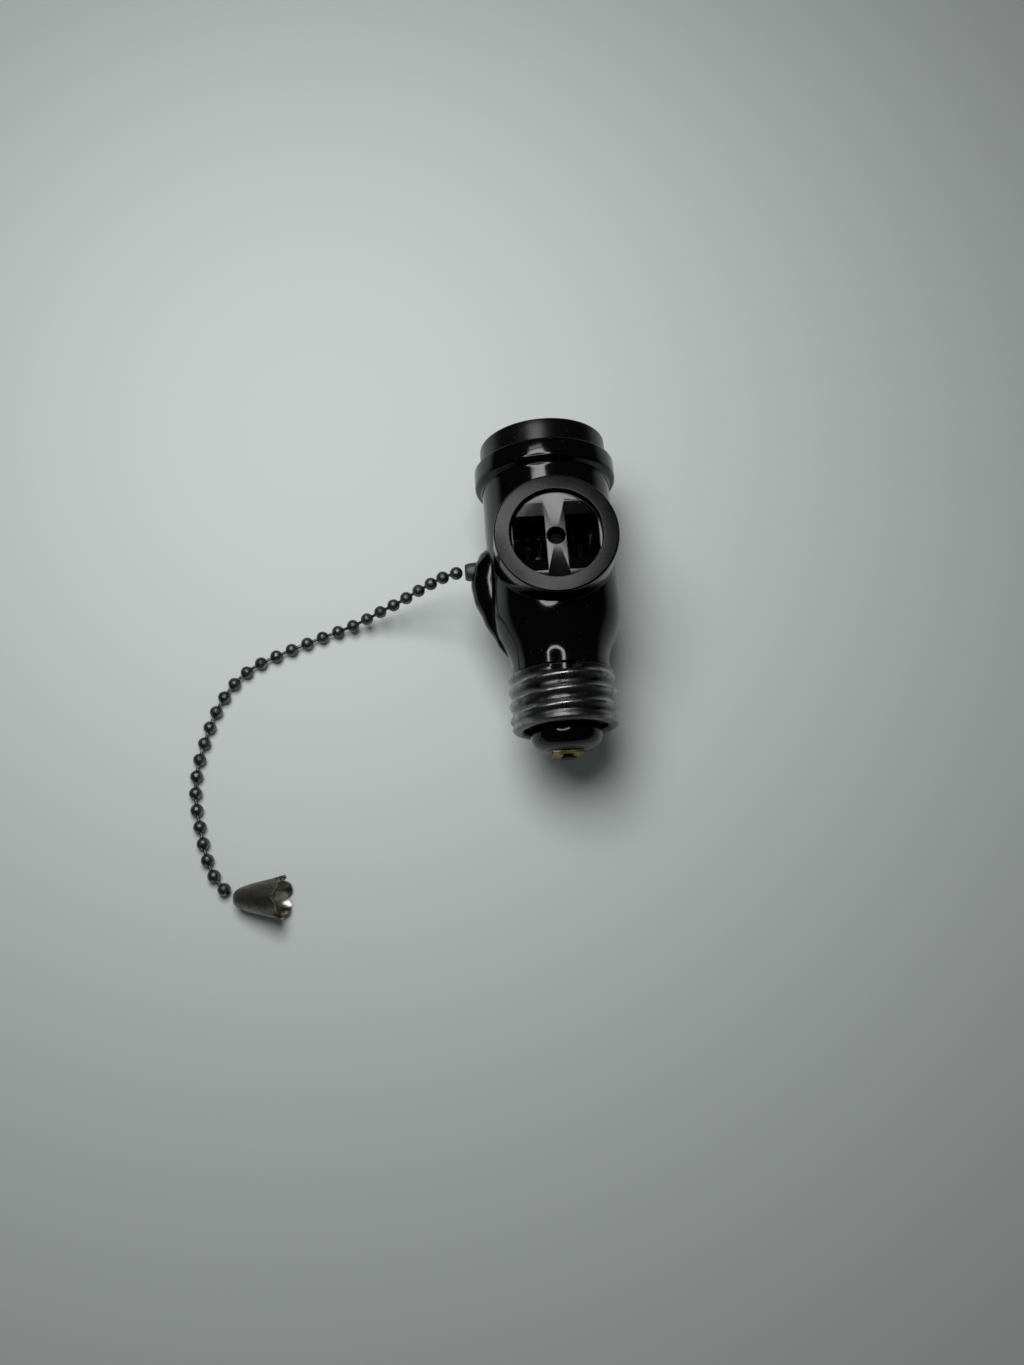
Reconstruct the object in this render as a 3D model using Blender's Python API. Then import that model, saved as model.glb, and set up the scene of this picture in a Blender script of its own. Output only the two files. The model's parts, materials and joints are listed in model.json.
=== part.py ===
"""A pull-chain lampholder adapter: a screw base below, a lamp socket above, a slotted outlet on the
front and on the back, and a bead chain out of the left side that works a rotary switch.

The adapter is modelled upright about its own axis, mouth up (+Z), front outlet towards -Y. The empty
"adapter_axis" then lays it on its back outlet, mouth towards +Y, front outlet up. Metres throughout.
"""

import math

import bmesh
import bpy
from mathutils import Vector

# ---- clearances ----
GAP = 0.0003  # between pieces that touch on the real object
SLIDE_GAP = 0.00015  # round the chain in its bushing

# ---- lamp socket, in the mouth ----
SOCKET_THREAD_RADIUS = 0.0134  # root of the female thread
THREAD_DEPTH = 0.00075
THREAD_PITCH = 0.003629
SHEET = 0.00045  # rolled shells and brass strip
SOCKET_DEPTH = 0.0198  # ledge to the top of the flange
WALL = 0.0023  # moulded wall round the socket

# ---- body outside ----
BODY_RADIUS = SOCKET_THREAD_RADIUS + SHEET + GAP + WALL
NECK_RADIUS = 0.0123
NECK_TOP = 0.0163
TAPER_LENGTH = 0.0147
FLANGE_PROUD = 0.0018
FLANGE_WIDTH = 0.0038
FLANGE_RADIUS = BODY_RADIUS + FLANGE_PROUD
COLLAR_HEIGHT = 0.0064
COLLAR_STEP = 0.0019  # collar radius below flange radius
SKIRT_WALL = 0.0009
SKIRT_DEPTH = 0.0031

# ---- screw base ----
BASE_THREAD_RADIUS = 0.0131
BASE_SHELL_HEIGHT = 0.0139
BASE_RIM_RADIUS = 0.0103
BASE_SHELL_WALL = 0.0013  # crest to plain bore
NECK_WALL = 0.0028
NOTCH_WIDTH = 0.0074
NOTCH_DEPTH = 0.0017
NOTCH_X = -0.0005
BASE_THREAD_PHASE = 0.0012
NECK_FOOT = 0.0015  # above the base shell's rim
DOME_LENGTH = 0.0054
DOME_END_RADIUS = 0.0052
PLUG_LENGTH = 0.0045
CONTACT_PLATE_WIDTH = 0.0077
CONTACT_PLATE_DEPTH = 0.0062
CONTACT_LIP = 0.0010
EYELET_RADIUS = 0.0012
EYELET_HEAD_RADIUS = 0.0019
EYELET_HEAD = 0.0004

# ---- outlets ----
OUTLET_REACH = 0.0224  # adapter axis to the outlet's ring face
RECESS_RADIUS = 0.0112
RING_WIDTH = 0.0037
RECESS_DEPTH = 0.0020
BOSS_RADIUS = RECESS_RADIUS + RING_WIDTH
BLADE_SPACING = 0.0127
WELL_WIDTH = 0.0077
WELL_HEIGHT = 0.0110
WELL_FUNNEL = 0.0032  # how much higher and lower the well is at its mouth
WELL_FUNNEL_DEPTH = 0.0035
WELL_WALL = 0.0014  # between a well and the switch slot
RIVET_RADIUS = 0.0014
RIVET_HEAD_RADIUS = 0.0020
RIVET_HEAD = 0.0009
RIVET_WELL_RADIUS = 0.0022
RIVET_WELL_DEPTH = 0.0034
CLIP_LENGTH = 0.0083
CLIP_WIDTH = 0.0055

# ---- switch ----
SLOT_HALF = 0.0045  # half the slot between the two outlets' wells
LEVER_ARM = 0.0114
PULL_TRAVEL = 0.0064
LEVER_THICK = 0.0010
WHEEL_RADIUS = 0.0036
WHEEL_THICK = 0.0010
WHEEL_TEETH = 12
CAM_LOBES = 6
CAM_NOTCH = 0.0006
CAM_STEPS = 48
TOOTH_DEPTH = 0.0007
SHAFT_RADIUS = 0.0009
PLATE_THICK = 0.0008
STRAP_WIDTH = 0.0046
STRAP_THICK = 0.0008
TAIL_WIDTH = 0.0028
NEUTRAL_FOOT = 0.0084  # heights of the straps' feet
LIVE_FOOT = 0.0064
BUTTON = 0.0007  # contact button's height off its leaf
LEAF_GAP = 0.0005  # between the cam's lobes and the leaf
PAWL_PIVOT = 0.0064  # up the lever from its hub
SPRING_UP_ARM = 0.0075
SPRING_POST_X = 0.0020
SOCKET_SCREW_Y = 0.0096
LAMP_TAIL_X = 0.0047
SPRING_TURNS = 6
SPRING_RADIUS = 0.0011
SPRING_WIRE = 0.00025

# ---- chain ----
BEAD_RADIUS = 0.0016
BEAD_PITCH = 0.00428
LINK_RADIUS = 0.00045
END_STOP_RADIUS = 0.0013
BUSHING_WALL = 0.00065
BUSHING_REACH = 0.02225  # adapter axis to the bushing's rounded tip
CHAIN_BOSS_REACH = 0.0210  # highest edge of the boss that holds the bushing
CHAIN_BOSS_HALF_WIDTH = 0.0058
CHAIN_BOSS_TOP = 0.0060  # above the chain's height
CHAIN_BOSS_EDGE = 0.0034  # highest edge below the chain's height
CHAIN_BOSS_TAIL = 0.0190  # tail's end below the chain's height

# ---- bell pull ----
BELL_LENGTH = 0.0128
BELL_APEX_RADIUS = 0.0019
BELL_MOUTH_RADIUS = 0.0053
BELL_SHEET = 0.0005
BELL_PETALS = 6
BELL_SCALLOP = 0.0019
BELL_TILT = math.radians(13)
BELL_HEADING = math.radians(-4)
BELL_APEX = (-0.0838, -0.0678)
FLOOR_GAP = 0.00008

# ---- heights along the adapter's axis, from the base shell's rim ----
SHOULDER = NECK_TOP + TAPER_LENGTH
OUTLET_HEIGHT = SHOULDER + 0.0119
LEDGE = OUTLET_HEIGHT + RECESS_RADIUS - 0.0039
FLANGE_TOP = LEDGE + SOCKET_DEPTH
MOUTH = FLANGE_TOP + COLLAR_HEIGHT
CHAMBER_TOP = OUTLET_HEIGHT - 0.0074
PIVOT_HEIGHT = OUTLET_HEIGHT - LEVER_ARM
CONTACT_FACE = -DOME_LENGTH - CONTACT_LIP / 2 - SHEET
SPRING_HEIGHT = PIVOT_HEIGHT + SPRING_UP_ARM
LOWEST = CONTACT_FACE - GAP - EYELET_HEAD

# ---- radii and places across the axis ----
SOCKET_BORE = SOCKET_THREAD_RADIUS + SHEET + GAP
CHAMBER_RADIUS = SOCKET_BORE - 0.00075
NECK_BORE = BASE_THREAD_RADIUS - BASE_SHELL_WALL - GAP * 4 / 3 - NECK_WALL
NECK_INNER = BASE_THREAD_RADIUS - BASE_SHELL_WALL - GAP * 4 / 3  # neck inside the base shell
PLATE_INNER = SLOT_HALF - STRAP_THICK - 0.0006 - PLATE_THICK  # half the room between the frame plates
STRAP_FACE = SLOT_HALF - 0.0002  # outer face of a bus strap
STRAP_X = BLADE_SPACING / 2 - 0.00035
PIVOT_X = -(CHAMBER_RADIUS - WHEEL_RADIUS - 0.0008)
HALF_SWING = math.atan(PULL_TRAVEL / 2 / LEVER_ARM)
LEAF_X = PIVOT_X + WHEEL_RADIUS + LEAF_GAP
BUSHING_OUTER = BEAD_RADIUS + SLIDE_GAP + BUSHING_WALL
TAB_X = PIVOT_X + PULL_TRAVEL / 2  # the pull tab at rest, at the chain's height
AXIS_X = (CHAIN_BOSS_REACH - FLANGE_RADIUS) / 2  # puts the body's box over the origin
AXIS_Y = -(MOUTH + LOWEST) / 2

# The chain's free run from the bushing's tip to the bell pull, in the row frame, chosen by hand.
CHAIN_ROUTE = (
    (-0.0209, 0.0082, 0.0224), (-0.0240, 0.0083, 0.0217), (-0.0272, 0.0083, 0.0191),
    (-0.0306, 0.0079, 0.0160), (-0.0346, 0.0071, 0.0128), (-0.0388, 0.0060, 0.0098),
    (-0.0432, 0.0050, 0.0072), (-0.0478, 0.0037, 0.0048), (-0.0526, 0.0024, 0.0029),
    (-0.0572, 0.0012, 0.0019), (-0.0615, -0.0001, 0.00168), (-0.0675, -0.0022, 0.00168),
    (-0.0734, -0.0044, 0.00168), (-0.0790, -0.0069, 0.00168), (-0.0836, -0.0104, 0.00168),
    (-0.0873, -0.0151, 0.00168), (-0.0900, -0.0204, 0.00168), (-0.0921, -0.0264, 0.00168),
    (-0.0938, -0.0326, 0.00168), (-0.0945, -0.0390, 0.00168), (-0.0941, -0.0448, 0.00168),
    (-0.0930, -0.0506, 0.00168), (-0.0918, -0.0560, 0.00168), (-0.0901, -0.0609, 0.00168),
    (-0.0876, -0.0647, 0.0018), (-0.0852, -0.0668, 0.0025),
)

BODY_STEPS = 48
SMALL_STEPS = 20
TINY_STEPS = 12


# ---- materials ----
def finish(name, colour, roughness, metallic=0.0):
    made = bpy.data.materials.new(name)
    made.use_nodes = True
    shader = made.node_tree.nodes["Principled BSDF"]
    shader.inputs["Base Color"].default_value = (*colour, 1.0)
    shader.inputs["Roughness"].default_value = roughness
    shader.inputs["Metallic"].default_value = metallic
    return made


# ---- shapes ----
def lathe(profile, steps=BODY_STEPS):
    """A solid turned about Z. A radius may be a function of the angle; a profile with no point on
    the axis closes on itself, and one that starts and ends on the axis is solid."""
    made = bmesh.new()
    rings = []
    for radius, height in profile:
        if radius == 0:
            rings.append([made.verts.new((0, 0, height))])
            continue
        ring = []
        for step in range(steps):
            angle = 2 * math.pi * step / steps
            reach = radius(angle) if callable(radius) else radius
            level = height(angle) if callable(height) else height
            ring.append(made.verts.new((reach * math.cos(angle), reach * math.sin(angle), level)))
        rings.append(ring)
    hollow = all(len(ring) > 1 for ring in rings)
    for lower, upper in zip(rings, rings[1:] + (rings[:1] if hollow else [])):
        for step in range(steps):
            after = step + 1
            corners = (
                lower[step % len(lower)], lower[after % len(lower)],
                upper[after % len(upper)], upper[step % len(upper)],
            )
            corners = list(dict.fromkeys(corners))
            if len(corners) > 2:
                made.faces.new(corners)
    return made


AXIS_PLACES = {
    "X": lambda u, v, w: (w, u, v),
    "Y": lambda u, v, w: (u, w, v),
    "Z": lambda u, v, w: (u, v, w),
}


def extruded(outline, low, high, axis="Z"):
    """A flat outline carried from low to high along an axis. The outline's two numbers are the other
    two axes, in alphabetical order."""
    place = AXIS_PLACES[axis]
    made = bmesh.new()
    bottom = [made.verts.new(place(u, v, low)) for u, v in outline]
    top = [made.verts.new(place(u, v, high)) for u, v in outline]
    made.faces.new(bottom)
    made.faces.new(top)
    for index in range(len(outline)):
        after = (index + 1) % len(outline)
        made.faces.new((bottom[index], bottom[after], top[after], top[index]))
    return made


def box(low, high):
    (x0, y0, z0), (x1, y1, z1) = low, high
    return extruded([(x0, y0), (x1, y0), (x1, y1), (x0, y1)], z0, z1)


def circle(radius, centre=(0, 0), steps=SMALL_STEPS):
    return [
        (
            centre[0] + radius * math.cos(2 * math.pi * (step + 0.5) / steps),
            centre[1] + radius * math.sin(2 * math.pi * (step + 0.5) / steps),
        )
        for step in range(steps)
    ]


def rod(radius, low, high, axis, centre=(0, 0), steps=SMALL_STEPS):
    return extruded(circle(radius, centre, steps), low, high, axis)


def arc(centre, radius, start, end, count):
    """Points round a centre, by angles in degrees."""
    angles = [math.radians(start + (end - start) * step / count) for step in range(count + 1)]
    return [
        (centre[0] + radius * math.cos(angle), centre[1] + radius * math.sin(angle))
        for angle in angles
    ]


def strip(path, thick):
    """The outline of a bent strip of constant thickness that follows a path."""
    points = [Vector(point) for point in path]
    left, right = [], []
    for index, point in enumerate(points):
        before = points[max(index - 1, 0)]
        after = points[min(index + 1, len(points) - 1)]
        into = (point - before).normalized() if index else (after - point).normalized()
        out = (after - point).normalized() if after is not point else into
        along = (into + out).normalized()
        across = Vector((-along.y, along.x)) * (thick / 2 / max(along.dot(into), 0.5))
        left.append(tuple(point + across))
        right.append(tuple(point - across))
    return left + right[::-1]


# ---- objects ----
def link(name, shape, material, parent, place=(0, 0, 0), turn=(0, 0, 0)):
    bmesh.ops.recalc_face_normals(shape, faces=shape.faces)
    data = bpy.data.meshes.new(name)
    shape.to_mesh(data)
    shape.free()
    data.shade_smooth()
    data.set_sharp_from_angle(angle=math.radians(32))
    made = bpy.data.objects.new(name, data)
    if material:
        data.materials.append(material)
    made.parent = parent
    made.location = place
    made.rotation_euler = turn
    bpy.context.scene.collection.objects.link(made)
    return made


def guide(name, shape, parent, place=(0, 0, 0), turn=(0, 0, 0)):
    made = link(name, shape, None, parent, place, turn)
    made.hide_render = True
    made.display_type = "WIRE"
    return made


def combine(target, other, operation):
    boolean = target.modifiers.new(other.name, "BOOLEAN")
    boolean.object = other
    boolean.operation = operation
    boolean.solver = "EXACT"


def add(target, *shapes):
    for index, shape in enumerate(shapes):
        other = guide(f"{target.name}_form_{index}", shape, target.parent, target.location)
        other.rotation_euler = target.rotation_euler
        combine(target, other, "UNION")
    return target


def cut(target, *shapes):
    for index, shape in enumerate(shapes):
        other = guide(f"{target.name}_cut_{index}", shape, target.parent, target.location)
        other.rotation_euler = target.rotation_euler
        combine(target, other, "DIFFERENCE")
    return target


def empty(name, parent=None, place=(0, 0, 0), turn=(0, 0, 0)):
    made = bpy.data.objects.new(name, None)
    made.empty_display_size = 0.01
    made.parent = parent
    made.location = place
    made.rotation_euler = turn
    bpy.context.scene.collection.objects.link(made)
    return made


# ---- body ----
def body_outline():
    """Outside of the moulded body, bottom to top, as radius and height."""
    points = [(0, NECK_FOOT), (NECK_INNER, NECK_FOOT), (NECK_INNER, BASE_SHELL_HEIGHT + GAP)]
    points.append((NECK_RADIUS, BASE_SHELL_HEIGHT + GAP))
    for step in range(9):
        share = step / 8
        reach = NECK_RADIUS + (BODY_RADIUS - NECK_RADIUS) * math.sin(math.pi / 2 * share) ** 1.1
        points.append((reach, NECK_TOP + TAPER_LENGTH * share))
    flange_low = FLANGE_TOP - FLANGE_WIDTH
    points.append((BODY_RADIUS, flange_low - FLANGE_PROUD * 0.9))
    corner = (BODY_RADIUS + 0.0003, flange_low - 0.0002)
    points += arc(corner, FLANGE_PROUD - 0.0003, -72, 0, 4)
    points += [(FLANGE_RADIUS, FLANGE_TOP - 0.0004), (FLANGE_RADIUS - 0.0004, FLANGE_TOP)]
    points.append((0, FLANGE_TOP))
    return points


def outlet_boss():
    """One round boss right through the body, with an outlet's ring face at each end."""
    edge = 0.0004
    half = [(0, -OUTLET_REACH), (BOSS_RADIUS - edge, -OUTLET_REACH), (BOSS_RADIUS, -OUTLET_REACH + edge)]
    profile = half + [(reach, -level) for reach, level in half[::-1]]
    return profile


def chain_boss(axis):
    """The raised pad with a tapering tail that the chain's bushing stands in."""
    top, edge = OUTLET_HEIGHT + CHAIN_BOSS_TOP, OUTLET_HEIGHT - CHAIN_BOSS_EDGE
    tail = OUTLET_HEIGHT - CHAIN_BOSS_TAIL
    inside = BODY_RADIUS - WALL * 0.6
    skin = lathe([
        (0, top + 0.001), (BODY_RADIUS - 0.0004, top + 0.001), (CHAIN_BOSS_REACH - 0.0002, edge + 0.0004),
        (CHAIN_BOSS_REACH, edge), (CHAIN_BOSS_REACH - 0.0002, edge - 0.0008),
        (NECK_RADIUS, tail - 0.002), (0, tail - 0.002),
    ], 44)
    made = guide("chain_boss_skin", skin, axis)
    half, centre = CHAIN_BOSS_HALF_WIDTH, OUTLET_HEIGHT + CHAIN_BOSS_TOP - CHAIN_BOSS_HALF_WIDTH
    plan = [(0, tail)] + arc((0, centre), half, -24, 204, 16)
    plan_form = guide("chain_boss_plan", extruded(plan, -CHAIN_BOSS_REACH * 1.2, -inside * 0.8, "X"), axis)
    combine(made, plan_form, "INTERSECT")
    return made


def well(axis, side, face):
    """One blade well. side is -1 left or 1 right, face is -1 front or 1 back. It narrows like a
    funnel above and below."""
    centre = side * BLADE_SPACING / 2
    floor = SLOT_HALF + WELL_WALL
    mouth = OUTLET_REACH - RECESS_DEPTH
    neck = mouth - WELL_FUNNEL_DEPTH
    half = WELL_HEIGHT / 2
    outline = [
        (face * floor, OUTLET_HEIGHT - half), (face * neck, OUTLET_HEIGHT - half),
        (face * mouth, OUTLET_HEIGHT - half - WELL_FUNNEL),
        (face * (mouth + 0.0005), OUTLET_HEIGHT - half - WELL_FUNNEL),
        (face * (mouth + 0.0005), OUTLET_HEIGHT + half + WELL_FUNNEL),
        (face * mouth, OUTLET_HEIGHT + half + WELL_FUNNEL),
        (face * neck, OUTLET_HEIGHT + half), (face * floor, OUTLET_HEIGHT + half),
    ]
    form = extruded(outline, centre - WELL_WIDTH / 2, centre + WELL_WIDTH / 2, "X")
    made = guide(f"well_form_{side}_{face}", form, axis)
    low, high = sorted((face * (floor - 0.001), face * (mouth + 0.001)))
    within = rod(RECESS_RADIUS - 0.0003, low, high, "Y", (0, OUTLET_HEIGHT), 40)
    combine(made, guide(f"well_limit_{side}_{face}", within, axis), "INTERSECT")
    return made


def clip_slit(side, face):
    centre = side * BLADE_SPACING / 2
    half_slit, half_height = 0.0008, CLIP_WIDTH / 2 + GAP
    inner, outer = SLOT_HALF - 0.001, SLOT_HALF + WELL_WALL + 0.001
    low, high = min(face * inner, face * outer), max(face * inner, face * outer)
    return box(
        (centre - half_slit, low, OUTLET_HEIGHT - half_height),
        (centre + half_slit, high, OUTLET_HEIGHT + half_height),
    )


def screw_hole(face):
    return rod(
        0.0011, LEDGE - 0.0048, LEDGE + 0.001, "Z", (0, face * SOCKET_SCREW_Y), TINY_STEPS
    )


def neck_slot():
    """Where the neutral strap's foot leaves the neck for the base shell."""
    reach = NECK_INNER + 0.001
    return box(
        (-reach, -STRAP_FACE - GAP, NEUTRAL_FOOT - GAP),
        (-NECK_BORE + 0.002, -STRAP_FACE + TAIL_WIDTH + GAP, NEUTRAL_FOOT + STRAP_THICK + GAP),
    )


def make_body(axis, phenolic):
    body = link("body_housing", lathe(body_outline()), phenolic, axis)
    boss = guide("outlet_boss_form", lathe(outlet_boss()), axis, (0, 0, OUTLET_HEIGHT))
    boss.rotation_euler = (math.pi / 2, 0, 0)
    combine(body, boss, "UNION")
    combine(body, chain_boss(axis), "UNION")
    counterbore = SOCKET_BORE + SKIRT_WALL + GAP
    over = FLANGE_TOP + 0.001
    cuts = [
        rod(SOCKET_BORE, LEDGE, over, "Z", steps=BODY_STEPS),
        rod(counterbore, FLANGE_TOP - SKIRT_DEPTH - GAP, over, "Z", steps=BODY_STEPS),
        box(
            (-CHAMBER_RADIUS, -SLOT_HALF, CHAMBER_TOP - 0.004),
            (CHAMBER_RADIUS, SLOT_HALF, LEDGE + 0.0005),
        ),
        lathe([
            (0, NECK_TOP + 0.0007), (NECK_BORE, NECK_TOP + 0.0007),
            (CHAMBER_RADIUS, SHOULDER - 0.002), (CHAMBER_RADIUS, CHAMBER_TOP), (0, CHAMBER_TOP),
        ]),
        rod(NECK_BORE, 0, NECK_TOP + 0.002, "Z", steps=36),
        neck_slot(),
        rod(
            BUSHING_OUTER + GAP, -CHAIN_BOSS_REACH - 0.002, -CHAMBER_RADIUS + 0.002, "X",
            (0, OUTLET_HEIGHT),
        ),
        rod(
            RIVET_RADIUS + GAP, -OUTLET_REACH + RECESS_DEPTH / 2, OUTLET_REACH - RECESS_DEPTH / 2, "Y",
            (0, OUTLET_HEIGHT), TINY_STEPS,
        ),
    ]
    for face in (-1, 1):
        low, high = sorted((face * (OUTLET_REACH - RECESS_DEPTH), face * (OUTLET_REACH + 0.001)))
        cuts.append(rod(RECESS_RADIUS, low, high, "Y", (0, OUTLET_HEIGHT), BODY_STEPS))
        floor = OUTLET_REACH - RECESS_DEPTH - RIVET_WELL_DEPTH
        low, high = sorted((face * floor, face * OUTLET_REACH))
        cuts.append(rod(RIVET_WELL_RADIUS, low, high, "Y", (0, OUTLET_HEIGHT)))
        cuts.append(screw_hole(face))
        for side in (-1, 1):
            cuts.append(clip_slit(side, face))
            combine(body, well(axis, side, face), "DIFFERENCE")
    cut(body, *cuts)


def make_collar(axis, phenolic):
    inner = SOCKET_BORE + GAP / 3
    skirt = SOCKET_BORE + SKIRT_WALL
    outer = FLANGE_RADIUS - COLLAR_STEP
    seat, edge = FLANGE_TOP + GAP, 0.0004
    profile = [
        (inner, FLANGE_TOP - SKIRT_DEPTH), (skirt, FLANGE_TOP - SKIRT_DEPTH), (skirt, seat),
        (outer, seat), (outer, MOUTH - edge), (outer - edge, MOUTH), (inner + edge, MOUTH),
        (inner, MOUTH - edge),
    ]
    link("mouth_collar", lathe(profile), phenolic, axis)


# ---- threads ----
def threaded(root, crest, phase, low, high):
    """The radius of a rolled right-hand thread at a height, as a function of the angle, easing into
    the plain cylinder at its two ends."""
    def at(height):
        ease = min(1, max(0, (height - low) / 0.001), max(0, (high - height) / 0.001))

        def radius(angle):
            turn = 2 * math.pi * (height - phase) / THREAD_PITCH - angle
            return root + (crest - root) * (0.5 + 0.5 * math.cos(turn) * ease)
        return radius
    return at


def levels(low, high, per_pitch=7):
    count = max(2, math.ceil((high - low) / THREAD_PITCH * per_pitch))
    return [low + (high - low) * step / count for step in range(count + 1)]


def make_socket_shell(axis, aluminium):
    """The lamp's rolled shell: a threaded cup with a flat bottom that two screws hold down."""
    bottom = LEDGE + 0.0014
    top = MOUTH - 0.0016
    outer = SOCKET_THREAD_RADIUS + SHEET
    wave = threaded(SOCKET_THREAD_RADIUS - THREAD_DEPTH, SOCKET_THREAD_RADIUS, 0, bottom + 0.002, top)
    inside = [(wave(level), level) for level in levels(bottom + SHEET + 0.0012, top, 6)]
    profile = [(0.0065, bottom), (outer, bottom), (outer, top)] + inside[::-1]
    profile += [(SOCKET_THREAD_RADIUS - THREAD_DEPTH, bottom + SHEET), (0.0065, bottom + SHEET)]
    shell = link("lamp_screw_shell", lathe(profile, 40), aluminium, axis)
    cut(shell, *[
        rod(0.0013, bottom - 0.001, bottom + 0.001, "Z", (0, face * SOCKET_SCREW_Y), TINY_STEPS)
        for face in (-1, 1)
    ])


def make_base_shell(axis, aluminium):
    bore = BASE_THREAD_RADIUS - BASE_SHELL_WALL
    root = BASE_THREAD_RADIUS - THREAD_DEPTH
    wave = threaded(root, BASE_THREAD_RADIUS, BASE_THREAD_PHASE, 0.0, BASE_SHELL_HEIGHT + 0.0002)
    outside = [(wave(level), level) for level in levels(0.0009, BASE_SHELL_HEIGHT - 0.0002)]
    rim = [
        (bore, 0.0013), (NECK_INNER - 0.0004, 0.0009), (BASE_RIM_RADIUS, 0.0007),
        (BASE_RIM_RADIUS, 0.0002), (BASE_RIM_RADIUS + 0.0006, 0), (root - 0.0006, 0.0001),
    ]
    profile = rim + outside + [(root - 0.0001, BASE_SHELL_HEIGHT), (bore, BASE_SHELL_HEIGHT)]
    shell = link("base_screw_shell", lathe(profile, 40), aluminium, axis)
    half = NOTCH_WIDTH / 2
    floor = BASE_SHELL_HEIGHT - NOTCH_DEPTH
    notch = [
        (NOTCH_X - half + 0.0009, floor), (NOTCH_X + half - 0.0009, floor),
        (NOTCH_X + half, BASE_SHELL_HEIGHT + 0.001), (NOTCH_X - half, BASE_SHELL_HEIGHT + 0.001),
    ]
    cut(shell, extruded(notch, -BASE_THREAD_RADIUS - 0.001, -bore * 0.5, "Y"))


# ---- screw base ----
def make_base(axis, phenolic, brass):
    plug, bore = NECK_BORE - GAP, EYELET_RADIUS + GAP
    dome = [(plug - 0.0002, 0)]
    for step in range(1, 8):
        share = step / 7
        reach = DOME_END_RADIUS + (plug - DOME_END_RADIUS) * math.cos(math.pi / 2 * share) ** 0.7
        dome.append((reach, -DOME_LENGTH * math.sin(math.pi / 2 * share) ** 1.1))
    profile = [(bore, PLUG_LENGTH), (plug, PLUG_LENGTH), (plug, 0.0006)] + dome + [(bore, -DOME_LENGTH)]
    link("base_insulator", lathe(profile, 36), phenolic, axis)

    under = CONTACT_FACE
    lip = CONTACT_PLATE_DEPTH / 2
    path = [
        (-lip, -DOME_LENGTH - GAP - 0.0001), (-lip, under + SHEET / 2), (lip, under + SHEET / 2),
        (lip, -DOME_LENGTH - GAP - 0.0001),
    ]
    half = CONTACT_PLATE_WIDTH / 2
    plate = link("base_contact_plate", extruded(strip(path, SHEET), -half, half, "X"), brass, axis)
    cut(plate, rod(bore, under - 0.001, under + 0.001, "Z", steps=TINY_STEPS))

    top = LIVE_FOOT - GAP
    eyelet = [
        (0, LOWEST), (EYELET_HEAD_RADIUS, LOWEST),
        (EYELET_HEAD_RADIUS, under - GAP), (EYELET_RADIUS, under - GAP),
        (EYELET_RADIUS, PLUG_LENGTH + GAP), (EYELET_HEAD_RADIUS, PLUG_LENGTH + GAP),
        (EYELET_HEAD_RADIUS, top), (0, top),
    ]
    link("base_contact_eyelet", lathe(eyelet, 16), brass, axis)


# ---- lamp socket floor ----
def make_socket_floor(axis, fibre, brass, steel):
    low, high = LEDGE + GAP, LEDGE + GAP + 0.0008
    disc = link("socket_insulator", rod(SOCKET_BORE - GAP, low, high, "Z", steps=36), fibre, axis)
    holes = [
        rod(0.0013, low - 0.001, high + 0.001, "Z", (0, face * SOCKET_SCREW_Y), TINY_STEPS)
        for face in (-1, 1)
    ]
    tab = STRAP_X
    holes.append(box((-tab - 0.0013, -0.0009, low - 0.001), (-tab + 0.0013, 0.0009, high + 0.001)))
    holes.append(
        box((LAMP_TAIL_X - 0.0006, -0.0018, low - 0.001), (LAMP_TAIL_X + 0.0006, 0.0018, high + 0.001))
    )
    cut(disc, *holes)

    rest = high + GAP + SHEET / 2
    path = [
        (LAMP_TAIL_X, LEDGE + 0.0002), (LAMP_TAIL_X, rest), (0.0034, rest + 0.0003),
        (0.0010, rest + 0.0036), (-0.0012, rest + 0.0036), (-0.0031, rest + 0.0021),
    ]
    link("lamp_centre_contact", extruded(strip(path, SHEET), -0.0015, 0.0015, "Y"), brass, axis)

    head_low = LEDGE + 0.0014 + SHEET + GAP
    for face, name in ((-1, "socket_screw_front"), (1, "socket_screw_back")):
        profile = [
            (0, LEDGE - 0.0045), (0.0008, LEDGE - 0.0040), (0.0008, head_low), (0.0018, head_low),
            (0.0018, head_low + 0.0006), (0.0012, head_low + 0.0011), (0, head_low + 0.0011),
        ]
        screw = link(name, lathe(profile, TINY_STEPS), steel, axis, (0, face * SOCKET_SCREW_Y, 0))
        cut(screw, box((-0.0022, -0.0003, head_low + 0.0006), (0.0022, 0.0003, head_low + 0.002)))


# ---- outlets' contacts and straps ----
def make_clips(axis, brass):
    floor = SLOT_HALF + WELL_WALL + 0.0007
    tip = floor + CLIP_LENGTH
    half = CLIP_WIDTH / 2
    for face, place in ((-1, "front"), (1, "back")):
        for side, pole in ((-1, "neutral"), (1, "live")):
            centre = side * BLADE_SPACING / 2
            leaf = [
                (-0.0019, tip), (-0.0010, tip - 0.0018), (-0.0016, floor + 0.0014), (-0.0016, floor),
                (0.0016, floor), (0.0016, floor + 0.0014), (0.0010, tip - 0.0018), (0.0019, tip),
            ]
            path = [(centre + u, face * v) for u, v in leaf]
            shape = extruded(strip(path, SHEET), OUTLET_HEIGHT - half, OUTLET_HEIGHT + half)
            clip = link(f"outlet_contact_{place}_{pole}", shape, brass, axis)
            low, high = sorted((face * (STRAP_FACE + GAP), face * (floor + SHEET / 4)))
            tail = box(
                (centre - SHEET / 2, low, OUTLET_HEIGHT - half + 0.0002),
                (centre + SHEET / 2, high, OUTLET_HEIGHT + half - 0.0002),
            )
            add(clip, tail)


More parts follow.
